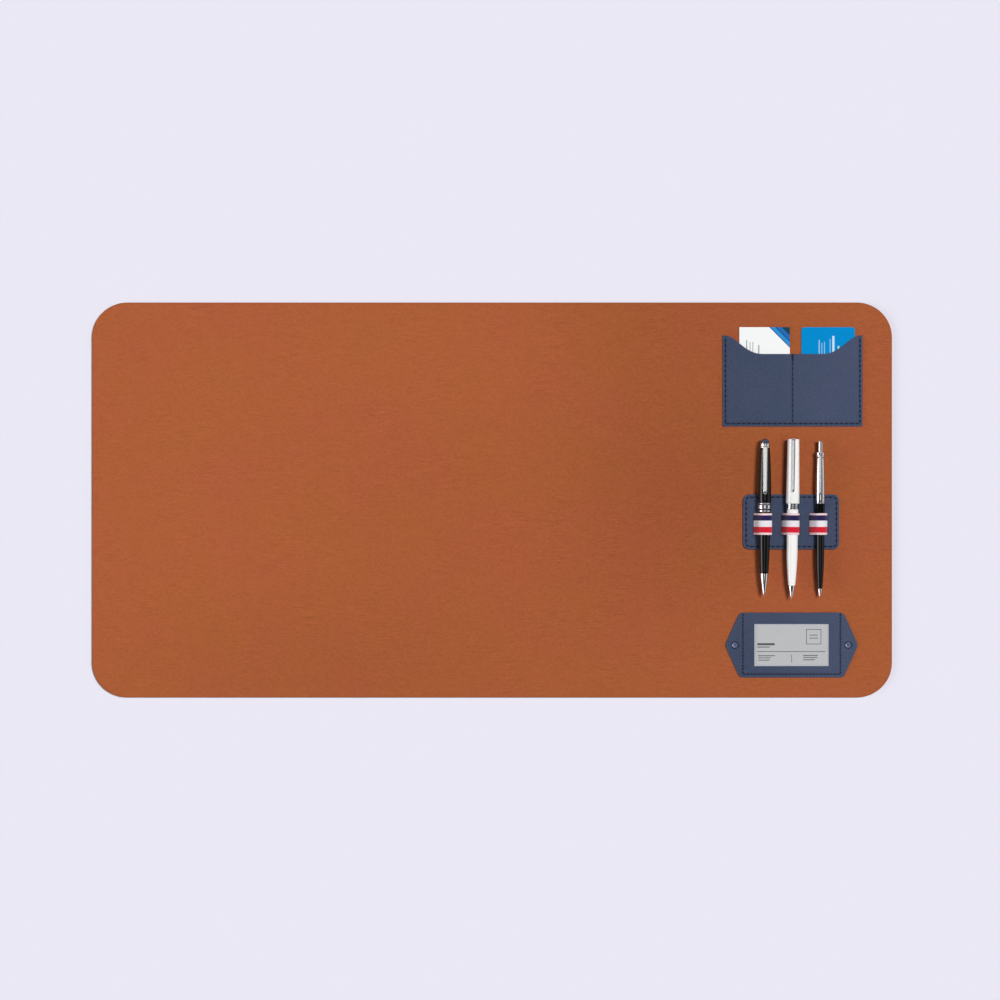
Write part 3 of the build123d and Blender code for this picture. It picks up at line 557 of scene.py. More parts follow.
def outlineInset(x, y, rightHalf):
    # how far a point is from the nearest straight step of an outline with two like halves
    outline = np.concatenate([rightHalf, (rightHalf * (-1, 1))[::-1]])
    nearest = np.full(np.shape(x), 1e9)
    for start, end in zip(outline, np.roll(outline, -1, axis=0)):
        run = end - start
        length = max(float(run @ run), 1e-12)
        share = np.clip(((x - start[0]) * run[0] + (y - start[1]) * run[1]) / length, 0, 1)
        gap = np.hypot(x - start[0] - share * run[0], y - start[1] - share * run[1])
        nearest = np.minimum(nearest, gap)
    return nearest


def ripples(x, y, waves):
    # a gentle unevenness: the sum of sine waves, each (height, wavelength, heading, start)
    total = np.zeros(np.shape(x))
    for height, wavelength, heading, start in waves:
        turn = math.radians(heading)
        run = x * math.cos(turn) + y * math.sin(turn)
        total += height * np.sin(2 * math.pi * run / wavelength + start)
    return total


def softened(points, cut, closed=False, steps=6):
    # every corner of a line becomes a curve that starts and ends a cut away from it, on the
    # parabola P = (1-t)^2 A + 2t(1-t) C + t^2 B, with A and B on its two sides and C the corner
    points = np.asarray(points, float)
    before = np.roll(points, 1, axis=0)
    after = np.roll(points, -1, axis=0)
    lengthBefore = np.linalg.norm(points - before, axis=1)[:, None] + 1e-9
    lengthAfter = np.linalg.norm(points - after, axis=1)[:, None] + 1e-9
    one = points + (before - points) * np.minimum(cut / lengthBefore, 0.45)
    two = points + (after - points) * np.minimum(cut / lengthAfter, 0.45)
    share = np.linspace(0, 1, steps)[None, :, None]
    curve = (1 - share) ** 2 * one[:, None] + 2 * share * (1 - share) * points[:, None]
    curve = (curve + share**2 * two[:, None]).reshape(-1, points.shape[1])
    if not closed:
        curve = np.concatenate([points[:1], curve[steps:-steps], points[-1:]])
    return curve


def evenly(points, count, closed=False):
    # the same line with its points the same distance apart
    if closed:
        points = np.concatenate([points, points[:1]])
    run = np.concatenate([[0.0], np.cumsum(np.linalg.norm(np.diff(points, axis=0), axis=1))])
    places = np.linspace(0, run[-1], count + 1)[:-1] if closed else np.linspace(0, run[-1], count)
    return np.stack([np.interp(places, run, points[:, k]) for k in range(points.shape[1])], -1)


def shell(name, node, finish, centre, x, y, top, bottom, marks=None, keep=None):
    # a sheet with two faces on one grid: each kept cell has a face above and one below, and a
    # wall stands wherever a kept cell meets a missing one or the grid's edge
    rows, columns = x.shape
    if keep is None:
        keep = np.ones((rows - 1, columns - 1), bool)
    points = np.concatenate([
        np.stack([x + centre[0], y + centre[1], np.broadcast_to(z, x.shape)], -1).reshape(-1, 3)
        for z in (top, bottom)
    ])
    under = rows * columns
    number = np.arange(under).reshape(rows, columns)
    cells = np.stack(
        [number[:-1, :-1], number[:-1, 1:], number[1:, 1:], number[1:, :-1]], -1
    )[keep]
    padded = np.pad(keep, 1)
    faces = [cells, cells[:, ::-1] + under]
    across = (padded[1:, 1:-1], padded[:-1, 1:-1], number[:, :-1], number[:, 1:])
    along = (padded[1:-1, :-1], padded[1:-1, 1:], number[:-1, :], number[1:, :])
    for inner, outer, start, end in (across, along):
        for wall, one, two in ((inner & ~outer, start, end), (outer & ~inner, end, start)):
            first, second = one[wall], two[wall]
            faces.append(np.stack([first + under, second + under, second, first], -1))
    both = {mark: np.concatenate([v.ravel(), v.ravel()]) for mark, v in (marks or {}).items()}
    putPiece(name, points, faces, finish, node, marks=both)


def turned(name, profile, place, finish, node, body="desk_pad", poles=False, around=72):
    # a profile of (along, radius) carried round an axis: the point at an angle a is
    # along * forward + radius * (cos a * side + sin a * up)
    profile = np.asarray(profile, float)
    rows = len(profile)
    angle = np.linspace(0, 2 * math.pi, around, endpoint=False)[:, None]
    ring = np.cos(angle) * place["side"] + np.sin(angle) * place["up"]
    along = profile[:, :1, None] * place["forward"]
    points = (place["point"] + along + profile[:, 1][:, None, None] * ring).reshape(-1, 3)
    quads = gridFaces(rows, around, wrapRows=not poles, wrapColumns=True)[0]
    faces = [quads]
    if poles:
        # the first and last rows lie on the axis, so they end in triangles on one point
        first, last = quads[:around, [0, 2, 3]], quads[-around:, :3]
        first[:, 0] = 0
        last[:, 2] = (rows - 1) * around
        faces = [quads[around:-around], first, last]
    if signedArea(profile) < 0:
        faces = [group[:, ::-1] for group in faces]
    putPiece(name, points, faces, finish, node, body)


def tubeFaces(rows, around):
    # a tube with an even number of sides, closed at both ends by four-sided faces
    step = np.arange(around // 2 - 1)[:, None]
    lid = np.hstack([step, step + 1, around - 2 - step, around - 1 - step])
    return [gridFaces(rows, around, wrapColumns=True)[0], lid[:, ::-1], lid + (rows - 1) * around]


def signedArea(profile):
    # which way round a profile is drawn, by the sum of its steps' cross products
    ahead = np.roll(profile, -1, axis=0)
    return float(np.sum(profile[:, 0] * ahead[:, 1] - ahead[:, 0] * profile[:, 1]))


def swelled(start, end, swell, steps=24):
    # a line from start to end that stands out most in its middle, as 4 t (1 - t)
    share = np.linspace(0, 1, steps)[:, None]
    line = np.array(start) + share * (np.array(end) - np.array(start))
    line[:, 1] += (4 * swell * share * (1 - share))[:, 0]
    return line


def domed(start, height, radius, steps=14):
    # the round end of a sphere over a radius, from its rim to the axis
    sphere = (radius**2 + height**2) / (2 * height)
    turn = np.linspace(math.asin(min(1.0, radius / sphere)), 0, steps)
    if height > radius:
        turn = np.linspace(math.pi - math.asin(radius / sphere), 0, steps)
    return np.stack([start + height - sphere + sphere * np.cos(turn), sphere * np.sin(turn)], -1)


# ---- the finishes of this object
tanLeather = leather("tanLeather", tanLook, leatherMix)
navyLeather = leather("navyLeather", navyLook, leatherMix)
brownSuede = suede("brownSuede", suedeLook)
greyBoard = board("greyBoard", boardLook)
navyThread = thread("navyThread", threadLook)
blackResin = resin("blackResin", (9, 9, 10), 0.13, 0.0, specular=0.34)
inkResin = resin("inkResin", (52, 60, 80), 0.2)
whiteResin = resin("whiteResin", (250, 249, 246), 0.16, 0.5, 0.03)
chrome = metal("chrome", (224, 225, 226), 0.10, 0.05, "round")
clipSteel = metal("clipSteel", (240, 241, 239), 0.20, 0.12, "y")
penSteel = metal("penSteel", (216, 217, 218), 0.16, 0.10, "y")
darkRivet = metal("darkRivet", (42, 52, 88), 0.45, 0.2, "none", 0.3)
rivetSteel = metal("rivetSteel", (152, 163, 196), 0.52, 0.2, "none", 0.2)
brass = metal("brass", (196, 168, 104), 0.25, 0.5, "round", 0.2)
springSteel = metal("springSteel", (176, 178, 180), 0.3, 0.3, "none")
greyPlastic = resin("greyPlastic", (182, 184, 188), 0.35, 0.1)
clearFilm = film("clearFilm", filmLook)
print("finishes made:", len(bpy.data.materials))


# ---- the pad: a suede backing, a board and the leather skin
pad = {
    "centre": (0.0, 0.0), "halfX": 400.0, "halfY": 197.5, "corner": 35.0, "backingTop": 0.7,
    "skinBase": 1.7, "top": 2.6, "edge": 0.45, "backingEdge": 0.15, "rimReach": 0.5,
    "skinGrid": (6.0, 0.15, 0.6), "backingGrid": (25.0, 0.1, 0.3),
    "calmEdge": (1.0, 30.0), "calmEnd": (170.0, 215.0),
    "waves": ((0.035, 310.0, 12.0, 0.4), (0.03, 190.0, 78.0, 2.0), (0.02, 90.0, 40.0, 1.1)),
}


def padGrid(look, grid):
    # columns and rows that stand closer at the edge and in the round corners
    straight = look["halfX"] - look["corner"]
    bends = cornerBends(look["halfX"], look["corner"])
    columns = spaced(mirrored([0.0, straight, look["halfX"], *bends]), *grid)
    return roundedBox(look, columns, spaced(mirrored([0.0, look["halfY"]]), *grid))


def makePad(look):
    # the skin is rippled, but lies flat at its edge and under what stands on its right end
    x, y, inset = padGrid(look, look["skinGrid"])
    calm = rise(inset, *look["calmEdge"]) * (1 - rise(x, *look["calmEnd"]))
    top = look["top"] - fallenEdge(inset, look["edge"]) + calm * ripples(x, y, look["waves"])
    shell(
        "padSkin", "pad_skin", tanLeather, look["centre"], x, y, top, look["skinBase"],
        {"rim": near(inset, look["rimReach"])},
    )
    x, y, inset = padGrid(look, look["backingGrid"])
    drop = fallenEdge(inset, look["backingEdge"])
    shell(
        "padBacking", "pad_backing", brownSuede, look["centre"], x, y, look["backingTop"] - drop,
        drop,
    )


makePad(pad)
print("pad made")


# ---- what the three navy leathers share: seams, stitches and a flat leather behind
stitchLook = {
    "radius": 0.66, "crown": 0.18, "dive": 0.62, "twist": 0.12, "taper": 0.35, "flat": 0.85,
    "rings": 9, "sides": 6, "sink": 0.16,
}


def seamStitches(sheet, seams):
    # the middle, heading and length of each stitch along straight seams
    threads = []
    for start, end in seams:
        run = np.subtract(end, start)
        count = max(1, round(float(np.hypot(*run)) / sheet["pitch"]))
        share = (np.arange(count)[:, None] + 0.5) / count
        heading = np.full(count, math.atan2(run[1], run[0]))
        length = np.full(count, sheet["length"])
        threads.append(np.column_stack([np.array(start) + share * run, heading, length]))
    return np.concatenate(threads)


def makeStitches(name, stitches, sheet, node, fullness=1.0):
    # one stitch is a tube whose ends dive into the leather: its height over the seam at t is
    # crown - dive * t^4, and its radius swells in two plies, 1 + twist * cos(2a + 5t), and
    # narrows towards the ends, 1 - taper * t^6
    look = stitchLook
    rings, sides = look["rings"], look["sides"]
    angles = np.arange(sides) * 2 * math.pi / sides
    t, a = np.meshgrid(np.linspace(-1, 1, rings), angles, indexing="ij")
    radius = look["radius"] * fullness * (1 + look["twist"] * np.cos(2 * a + 5 * t))
    radius = radius * (1 - look["taper"] * t**6)
    side = radius * np.cos(a)
    up = look["crown"] - look["dive"] * t**4 + radius * np.sin(a) * look["flat"]
    x, y, heading, length = (column[:, None, None] for column in np.asarray(stitches).T)
    along = t[None] * length / 2
    x = sheet["centre"][0] + x + along * np.cos(heading) - side[None] * np.sin(heading)
    y = sheet["centre"][1] + y + along * np.sin(heading) + side[None] * np.cos(heading)
    z = np.broadcast_to(sheet["rimTop"] - look["sink"] + up[None], x.shape)
    faces, shares = gridFaces(rings, sides, wrapColumns=True)
    lid = np.array([[0, 1, 2, 3], [0, 3, 4, 5]])
    faces = np.concatenate([faces, lid[:, ::-1], lid + (rings - 1) * sides])
    shares = np.concatenate([shares, np.zeros((4, 4, 2))])
    offsets = (np.arange(len(stitches)) * rings * sides)[:, None, None]
    every = (faces[None] + offsets).reshape(-1, 4)
    uv = np.tile(shares, (len(stitches), 1, 1))
    putPiece(name, np.stack([x, y, z], -1).reshape(-1, 3), [every], navyThread, node, uv=uv)


def threeSeams(farX, low, high):
    # up the left side, along the bottom and up the right side
    return [
        ((-farX, low), (-farX, high)), ((-farX, low), (farX, low)), ((farX, low), (farX, high)),
    ]


def pressedSeams(look, x, y, farX, low):
    # three sides' pressed line, 1 in its middle, and the pucker between their stitches
    fromSide, fromLow, past = np.abs(x) - farX, y - low, look["seamPast"]
    seam = np.maximum(
        groove(fromSide, look["grooveWidth"]) * (fromLow > -past),
        groove(fromLow, look["grooveWidth"]) * (fromSide < past),
    )
    pucker = sway(fromLow, look["pitch"]) * near(fromSide, look["puckerReach"])
    return seam, pucker + sway(x + farX, look["pitch"]) * near(fromLow, look["puckerReach"])


def twoLeathers(piece, look, x, y, inset, top, lift, marks, backRim, keeps=(None, None)):
    # the shaped front leather and a flat one behind it
    flat = look["frontBase"] - look["backRound"] * fallenEdge(inset, look["backEdge"])
    shell(
        f"{piece}Front", f"{piece}_front", navyLeather, look["centre"], x, y, top,
        look["frontBase"] + lift, marks, keeps[0],
    )
    shell(
        f"{piece}Back", f"{piece}_back", navyLeather, look["centre"], x, y, flat,
        look["backBase"], {"rim": backRim}, keeps[1],
    )


# ---- the card pocket
pocket = {
    "centre": (300.5, 73.5), "half": 70.0, "height": 91.0, "mouth": 72.5, "mouthHalf": 30.0,
    "hornFlat": 3.0, "hornHandle": 10.0, "mouthHandle": 18.0, "corner": 1.5,
    "backBase": 2.6, "frontBase": 3.4, "rimTop": 4.4, "rise": 0.7, "backEdge": 0.2,
    "backRound": 0.8, "seamInset": 2.8, "pitch": 5.1, "length": 3.7, "fineThread": 0.55,
    "tack": 6.8, "tackRows": 9, "tackWidths": (3.1, 2.1), "tackDrop": 0.1,
    "sideRise": (3.4, 6.8), "lowRise": (3.4, 5.7), "seamRise": (0.7, 2.6), "seamPast": 0.6,
    "edge": 0.8, "mouthEdge": 0.42, "mouthRise": (64.5, 71.5), "rimReach": 0.7,
    "grooveDepth": 0.34, "grooveWidth": 0.75, "middleGroove": 1.1, "pucker": 0.07,
    "puckerReach": 2.0, "gape": 0.25, "gapeDepth": 14.0, "gapeFrom": (3.0, 20.0),
    "gapeTo": (40.0, 62.0), "grid": (1.1, 0.14, 0.6), "lastRow": 66.0, "bendRow": 20.0,
    "cornerRows": (0.0, 8.0),
    "waves": ((0.05, 43.0, 25.0, 0.7), (0.04, 27.0, 110.0, 2.2), (0.05, 71.0, 160.0, 4.0)),
}


def pocketMouth(look):
    # the mouth's right half as x and y: level, then a Bezier curve up to the horn
    horn, start, mouth = look["half"] - look["hornFlat"], look["mouthHalf"], look["mouth"]
    ends = np.array([
        (start, mouth), (start + look["mouthHandle"], mouth),
        (horn - look["hornHandle"], look["height"]), (horn, look["height"]),
    ])
    t = np.linspace(0, 1, 60)[:, None]
    curve = ends[0] * (1 - t) ** 3 + 3 * ends[1] * t * (1 - t) ** 2
    curve = curve + 3 * ends[2] * t**2 * (1 - t) + ends[3] * t**3
    return np.concatenate([[(0.0, mouth)], curve, [(look["half"], look["height"])]])


def makePocket(look):
    # the rows are level at the bottom and follow the mouth's line at the top; the front stands
    # out over two rooms, between the side, bottom and middle seams, and gapes a little
    half, corner, low = look["half"], look["corner"], look["seamInset"]
    mouth = pocketMouth(look)
    seamX = half - low
    columns = spaced(mirrored((0.0, seamX, half - corner, half)), *look["grid"])
    rows = spaced([0.0, low, look["lastRow"], look["mouth"]], *look["grid"])
    x, level = np.meshgrid(columns, rows)
    far = np.abs(x)
    top = np.interp(far, *mouth.T)
    beside = np.clip(far - half + corner, 0, corner)
    fromBottom = corner - np.sqrt(corner**2 - beside**2)
    y = level + (top - look["mouth"]) * rise(level, look["bendRow"], look["mouth"])
    y = y + fromBottom * (1 - rise(level, *look["cornerRows"]))
    side = [(half, corner), (half - corner * 0.3, corner * 0.3), (half - corner, 0.0)]
    inset = outlineInset(x, y, np.concatenate([mouth[1:], side]))
    gape = look["gape"] * groove(top - y, look["gapeDepth"]) * rise(far, *look["gapeFrom"])
    gape = gape * (1 - rise(far, *look["gapeTo"]))
    lift = rise(half - far, *look["sideRise"]) * rise(y, *look["lowRise"])
    lift = lift * rise(far, *look["seamRise"])
    lift = lift * (look["rise"] + gape + ripples(x, y, look["waves"]))
    seam, pucker = pressedSeams(look, x, y, seamX, low)
    seam = np.maximum(seam, groove(x, look["grooveWidth"] * look["middleGroove"]))
    pucker = pucker + sway(y - low, look["pitch"]) * near(x, look["puckerReach"])
    height = look["rimTop"] + lift + look["pucker"] * pucker - look["grooveDepth"] * seam
    atMouth = rise(y, *look["mouthRise"])
    height = height - fallenEdge(inset, look["edge"] + (look["mouthEdge"] - look["edge"]) * atMouth)
    rim = near(inset, look["rimReach"])
    twoLeathers("pocket", look, x, y, inset, height, lift, {"rim": rim, "seam": seam}, rim)
    around = seamStitches(look, threeSeams(seamX, low, look["height"] - low))
    middle = seamStitches(look, [((0, low), (0, look["mouth"] - look["tack"]))])
    down = (np.arange(look["tackRows"]) + 0.5) / look["tackRows"]
    tack = np.column_stack([
        0 * down, look["mouth"] - look["tackDrop"] - look["tack"] * down, 0 * down,
        np.interp(down, (0, 1), look["tackWidths"]),
    ])
    makeStitches("pocketStitches", around, look, "pocket_stitching")
    for name, threads in (("pocketMiddleStitches", middle), ("pocketTack", tack)):
        makeStitches(name, threads, look, "pocket_stitching", look["fineThread"])


makePocket(pocket)
print("pocket made")


# ---- the pen patch, with slits for the ribbons
patch = {
    "centre": (299.0, -21.9), "halfX": 48.0, "halfY": 27.5, "corner": 6.0,
    "backBase": 2.6, "frontBase": 4.0, "rimTop": 5.3, "edge": 0.85, "backEdge": 0.25,
    "backRound": 1.0, "inset": 2.8, "pitch": 5.2, "length": 3.7, "cornerLength": 3.0,
    "grooveDepth": 0.34, "grooveWidth": 0.7, "ribbonY": -24.0, "ribbonHalf": 10.95,
    "slitHalf": 0.65, "legs": (-10.3, 7.0), "dip": 0.22, "dipReach": 0.5, "dipRim": 0.5,
    "pillow": 0.12, "pillowRise": (3.2, 9.0), "pucker": 0.06, "puckerReach": 1.5,
    "meanRadius": 38.0, "rimReach": 0.8, "columnGrid": (0.8, 0.16, 0.35),
    "rowGrid": (0.8, 0.16, 0.6),
}
penLook = {
    "black": {"point": (271.6, -95.9, 12.45), "lean": 0.4, "barrel": 6.25},
    "white": {"point": (299.0, -98.8, 12.45), "lean": 0.7, "barrel": 5.8},
    "click": {"point": (327.5, -95.9, 10.3), "lean": 0.2, "barrel": 4.55},
}


def penPlace(look):
    # where a pen lies: the end of its point, its heading and the two directions across it
    lean = math.radians(look["lean"])
    return {
        "point": np.array(look["point"]),
        "forward": np.array([math.sin(lean), math.cos(lean), 0.0]),
        "side": np.array([math.cos(lean), -math.sin(lean), 0.0]),
        "up": np.array([0.0, 0.0, 1.0]),
    }


penPlaces = {pen: penPlace(look) for pen, look in penLook.items()}


def axisAt(place, y):
    # where a pen's axis crosses a line of constant y
    return place["point"] + place["forward"] * (y - place["point"][1]) / place["forward"][1]


def makePatch(look):
    # slits go through the front for each ribbon's two legs, and the back has a room between them
    halfX, halfY, ribbonHalf = look["halfX"], look["halfY"], look["ribbonHalf"]
    slitHalf, legs = look["slitHalf"], look["legs"]
    crossings = [axisAt(p, look["ribbonY"])[0] - look["centre"][0] for p in penPlaces.values()]
    slits = [cross + leg for cross in crossings for leg in legs]
    slitY = look["ribbonY"] - look["centre"][1]
    marks = {slit + side * slitHalf for slit in slits for side in (-1, 1)}
    marks |= set(mirrored([*cornerBends(halfX, look["corner"]), halfX]))
    farX, farY = halfX - look["inset"], halfY - look["inset"]
    rowMarks = [-halfY, -farY, slitY - ribbonHalf, slitY + ribbonHalf, farY, halfY]
    columns = spaced(sorted(marks), *look["columnGrid"])
    x, y, inset = roundedBox(look, columns, spaced(rowMarks, *look["rowGrid"]))
    middleX, middleY = cellMiddles(x), cellMiddles(y) - slitY
    keepFront = np.ones(middleX.shape, bool)
    keepBack = keepFront.copy()
    dip = np.zeros_like(x)
    for slit in slits:
        keepFront &= outsideBox(middleX - slit, middleY, slitHalf, ribbonHalf) > 0
        fromSlit = outsideBox(x - slit, y - slitY, slitHalf, ribbonHalf)
        dip = np.maximum(dip, near(fromSlit, look["dipReach"]))
    roomHalf = (legs[1] - legs[0]) / 2 + slitHalf
    for cross in crossings:
        fromRoom = outsideBox(middleX - cross - sum(legs) / 2, middleY, roomHalf, ribbonHalf)
        keepBack &= fromRoom > 0
    seam = groove(inset - look["inset"], look["grooveWidth"])
    pucker = sway(np.arctan2(y, x) * look["meanRadius"], look["pitch"])
    pucker = look["pucker"] * pucker * near(inset - look["inset"], look["puckerReach"])
    top = look["rimTop"] + look["pillow"] * rise(inset, *look["pillowRise"]) * (1 - dip) + pucker
    top = top - look["grooveDepth"] * seam - look["dip"] * dip - fallenEdge(inset, look["edge"])
    rim = np.maximum(near(inset, look["rimReach"]), dip * look["dipRim"])
    twoLeathers(
        "patch", look, x, y, inset, top, 0.0, {"rim": rim, "seam": seam}, rim,
        (keepFront, keepBack),
    )
    bend = look["corner"] - look["inset"]
    straightX, straightY, slant = farX - bend, farY - bend, bend * math.sqrt(0.5)
    sides = [((-straightX, side), (straightX, side)) for side in (farY, -farY)]
    sides += [((side, -straightY), (side, straightY)) for side in (-farX, farX)]
    corners = [
        (right * (straightX + slant), up * (straightY + slant), -right * up * math.pi / 4,
         look["cornerLength"])
        for right in (-1, 1) for up in (-1, 1)
    ]
    threads = np.concatenate([seamStitches(look, sides), corners])
    makeStitches("patchStitches", threads, look, "patch_stitching")


makePatch(patch)
print("patch made")


# ---- the elastic loops
ribbon = {
    "halfWidth": 10.75, "halfThick": 0.45, "gap": 0.3, "under": 3.5, "rib": 0.05, "ribs": 56,
    "bend": 1.1, "around": 448, "fold": 0.006, "folds": 3, "across": 30, "easedEdge": 0.72,
}


def tangentTouch(point, radius, side):
    # where a strap drawn tight from a point meets a round about the origin
    turn = math.atan2(point[1], point[0])
    turn += side * math.acos(min(1.0, radius / math.hypot(*point)))
    return turn


def makeLoop(name, pen, node, finish):
    # the ribbon's middle line is a closed path round the pen and under the patch, and its section,
    # a flat strip with eased edges, is carried along it
    look, place = ribbon, penPlaces[pen]
    centre = axisAt(place, patch["ribbonY"])
    radius = penLook[pen]["barrel"] + look["gap"] + look["halfThick"]
    low, mouth = look["under"] - centre[2], patch["rimTop"] - centre[2]
    left, right = patch["legs"]
    startTurn = tangentTouch((right, mouth), radius, 1)
    endTurn = tangentTouch((left, mouth), radius, -1)
    if endTurn < startTurn:
        endTurn += 2 * math.pi
    turns = np.linspace(startTurn, endTurn, 60)
    arc = radius * np.stack([np.cos(turns), np.sin(turns)], -1)
    corners = np.array([(left, mouth), (left, low), (right, low), (right, mouth)])
    path = np.concatenate([arc, corners])
    path = evenly(softened(path, look["bend"], closed=True), look["around"], closed=True)
    heading = np.roll(path, -1, axis=0) - np.roll(path, 1, axis=0)
    heading /= np.linalg.norm(heading, axis=1)[:, None]
    outward = np.stack([heading[:, 1], -heading[:, 0]], -1)
    half = np.linspace(-1, 1, look["across"])
    across = np.concatenate([half, [1.0], half[::-1], [-1.0]])
    face = np.ones(look["across"])
    face[[0, -1]] = look["easedEdge"]
    thick = np.concatenate([face, [0.0], -face, [0.0]])
    count = look["around"]
    turn = 2 * math.pi * np.arange(count) / count
    thickness = look["halfThick"] + look["rib"] * (np.cos(look["ribs"] * turn) - 1)
    width = look["halfWidth"] * (1 + look["fold"] * np.sin(turn * look["folds"]))
    cross = path[:, None] + outward[:, None] * (thickness[:, None] * thick)[..., None]
    points = (
        centre + cross[..., :1] * place["side"] + cross[..., 1:] * place["up"]
        + (across * width[:, None])[..., None] * place["forward"]
    ).reshape(-1, 3)
    faces, shares = gridFaces(count, len(across), wrapRows=True, wrapColumns=True)
    reach = np.append(across, across[0]) * 0.5 + 0.5
    column = np.rint(shares[..., 1] * len(across)).astype(int)
    uv = np.stack([shares[..., 0], reach[column]], -1)
    putPiece(name, points, [faces], finish, node, uv=uv, crisp=80.0)


striped = elastic("stripedElastic", elasticLook, 2 * ribbon["halfWidth"])
for piece, pen, node in (
    ("ribbonLeft", "black", "pen_loop_left"), ("ribbonMiddle", "white", "pen_loop_middle"),
    ("ribbonRight", "click", "pen_loop_right"),
):
    makeLoop(piece, pen, node, striped)
print("ribbons made")


# ---- the name tag
tag = {
    "centre": (299.5, -145.0), "cornerX": 52.0, "halfY": 32.5, "tipX": 65.9, "tip": 8.0,
    "tipTurns": (15, 35, 50, 62, 72, 80, 86), "tipGap": 0.02,
    "corner": 6.0, "backBase": 2.6, "frontBase": 3.4, "rimTop": 4.4, "rise": 0.9,
    "windowX": 37.2, "windowY": 21.0, "seamX": 48.75, "seamLow": 3.3, "seamHigh": 0.7,
    "pitch": 3.45, "length": 2.2, "edge": 0.75, "windowEdge": 0.35, "backEdge": 0.2,
    "backRound": 1.0, "sideRise": (45.6, 48.2), "lowRise": (3.7, 5.7), "windowCalm": (0, 4),
    "grooveDepth": 0.3, "grooveWidth": 0.6, "seamPast": 0.5, "pucker": 0.05,
    "puckerReach": 1.5, "rimReach": 0.7, "windowReach": 0.5,
    "columnGrid": (0.9, 0.15, 0.4), "rowGrid": (0.9, 0.15, 0.45),
    "waves": ((0.02, 38.0, 15.0, 0.2), (0.02, 24.0, 95.0, 1.9)), "rivetX": 56.65,
}
windowFilm = {
    "overlap": 4.0, "low": 4.06, "high": 4.27, "rimReach": 0.6,
    "grid": (1.6, 0.25, 0.8), "waves": ((0.015, 31.0, 20.0, 0.5), (0.012, 19.0, 100.0, 1.5)),
}


def tagHalf(look):
    # the tag's upper right quarter as x and y: level edge, softened corner, slope and round tip
    centre = look["tipX"] - look["tip"]
    corner = np.array([look["cornerX"], look["halfY"]])
    turn = tangentTouch((corner[0] - centre, corner[1]), look["tip"], -1)
    arc = np.linspace(turn, 0.0, 24)
    tip = np.stack([centre + look["tip"] * np.cos(arc), look["tip"] * np.sin(arc)], -1)
    line = np.concatenate([[(0.0, look["halfY"]), tuple(corner)], tip])
    slope = math.atan2(corner[1] - tip[0][1], tip[0][0] - corner[0])
    cut = look["corner"] * math.tan(slope / 2)
    eased = softened(line[:3], cut, steps=12)
    return np.concatenate([eased[:-1], tip])


def makeTag(look):
    # the front stands out between its seams, and lies calm round the window; its columns
    # shorten towards the tips as the outline does
    halfY, seamX, window = look["halfY"], look["seamX"], (look["windowX"], look["windowY"])
    quarter = tagHalf(look)
    low = look["seamLow"] - halfY
    bends = cornerBends(look["tipX"], look["tip"], look["tipTurns"])
    marks = [0.0, window[0], seamX, look["cornerX"], *bends, look["tipX"] - look["tipGap"]]
    columns = spaced(mirrored(marks), *look["columnGrid"])
    rows = spaced([-halfY, low, -window[1], window[1], halfY], *look["rowGrid"])
    x, row = np.meshgrid(columns, rows)
    y = row * (np.interp(np.abs(columns), *quarter.T) / halfY)[None, :]
    inset = outlineInset(x, y, np.concatenate([quarter, (quarter[:-1] * (1, -1))[::-1]]))
    fromWindow = outsideBox(x, y, *window)
    bulge = (1 - rise(np.abs(x), *look["sideRise"])) * rise(y + halfY, *look["lowRise"])
    unevenness = ripples(x, y, look["waves"]) * rise(fromWindow, *look["windowCalm"])
    lift = bulge * (look["rise"] + unevenness)
    seam, pucker = pressedSeams(look, x, y, seamX, low)
    top = look["rimTop"] + lift + look["pucker"] * pucker - look["grooveDepth"] * seam
    top = top - fallenEdge(inset, look["edge"]) - fallenEdge(fromWindow, look["windowEdge"])
    rim = near(inset, look["rimReach"])
    marks = {"rim": np.maximum(rim, near(fromWindow, look["windowReach"])), "seam": seam}
    keepFront = outsideBox(cellMiddles(x), cellMiddles(y), *window) > 0
    twoLeathers("tag", look, x, y, inset, top, lift, marks, rim, (keepFront, None))
    threads = seamStitches(look, threeSeams(seamX, low, halfY - look["seamHigh"]))
    makeStitches("tagStitches", threads, look, "tag_stitching")


def makeFilm(look, sheet):
    # a thin clear sheet, a little uneven, with a painted highlight: a pale line where the window's
    # edge touches it
    halfX, halfY = sheet["windowX"], sheet["windowY"]
    x, y = np.meshgrid(*(
        spaced(mirrored((half, half + look["overlap"])), *look["grid"]) for half in (halfX, halfY)
    ))
    wave = ripples(x, y, look["waves"])
    inWindow = np.minimum(halfX - np.abs(x), halfY - np.abs(y))
    # painted highlight along the window's edge
    rim = groove(np.clip(inWindow, 0, None), look["rimReach"])
    shell(
        "tagFilm", "tag_window", clearFilm, sheet["centre"], x, y, look["high"] + wave,
        look["low"] + wave, {"rim": rim},
    )


makeTag(tag)
makeFilm(windowFilm, tag)
print("tag made")


# ---- the rivets' caps: a dark dished rim and a bright dome
rivet = {"rim": 3.7, "rimTop": 0.45, "dome": 2.8, "rise": 0.9, "socket": 1.4, "depth": -0.6}


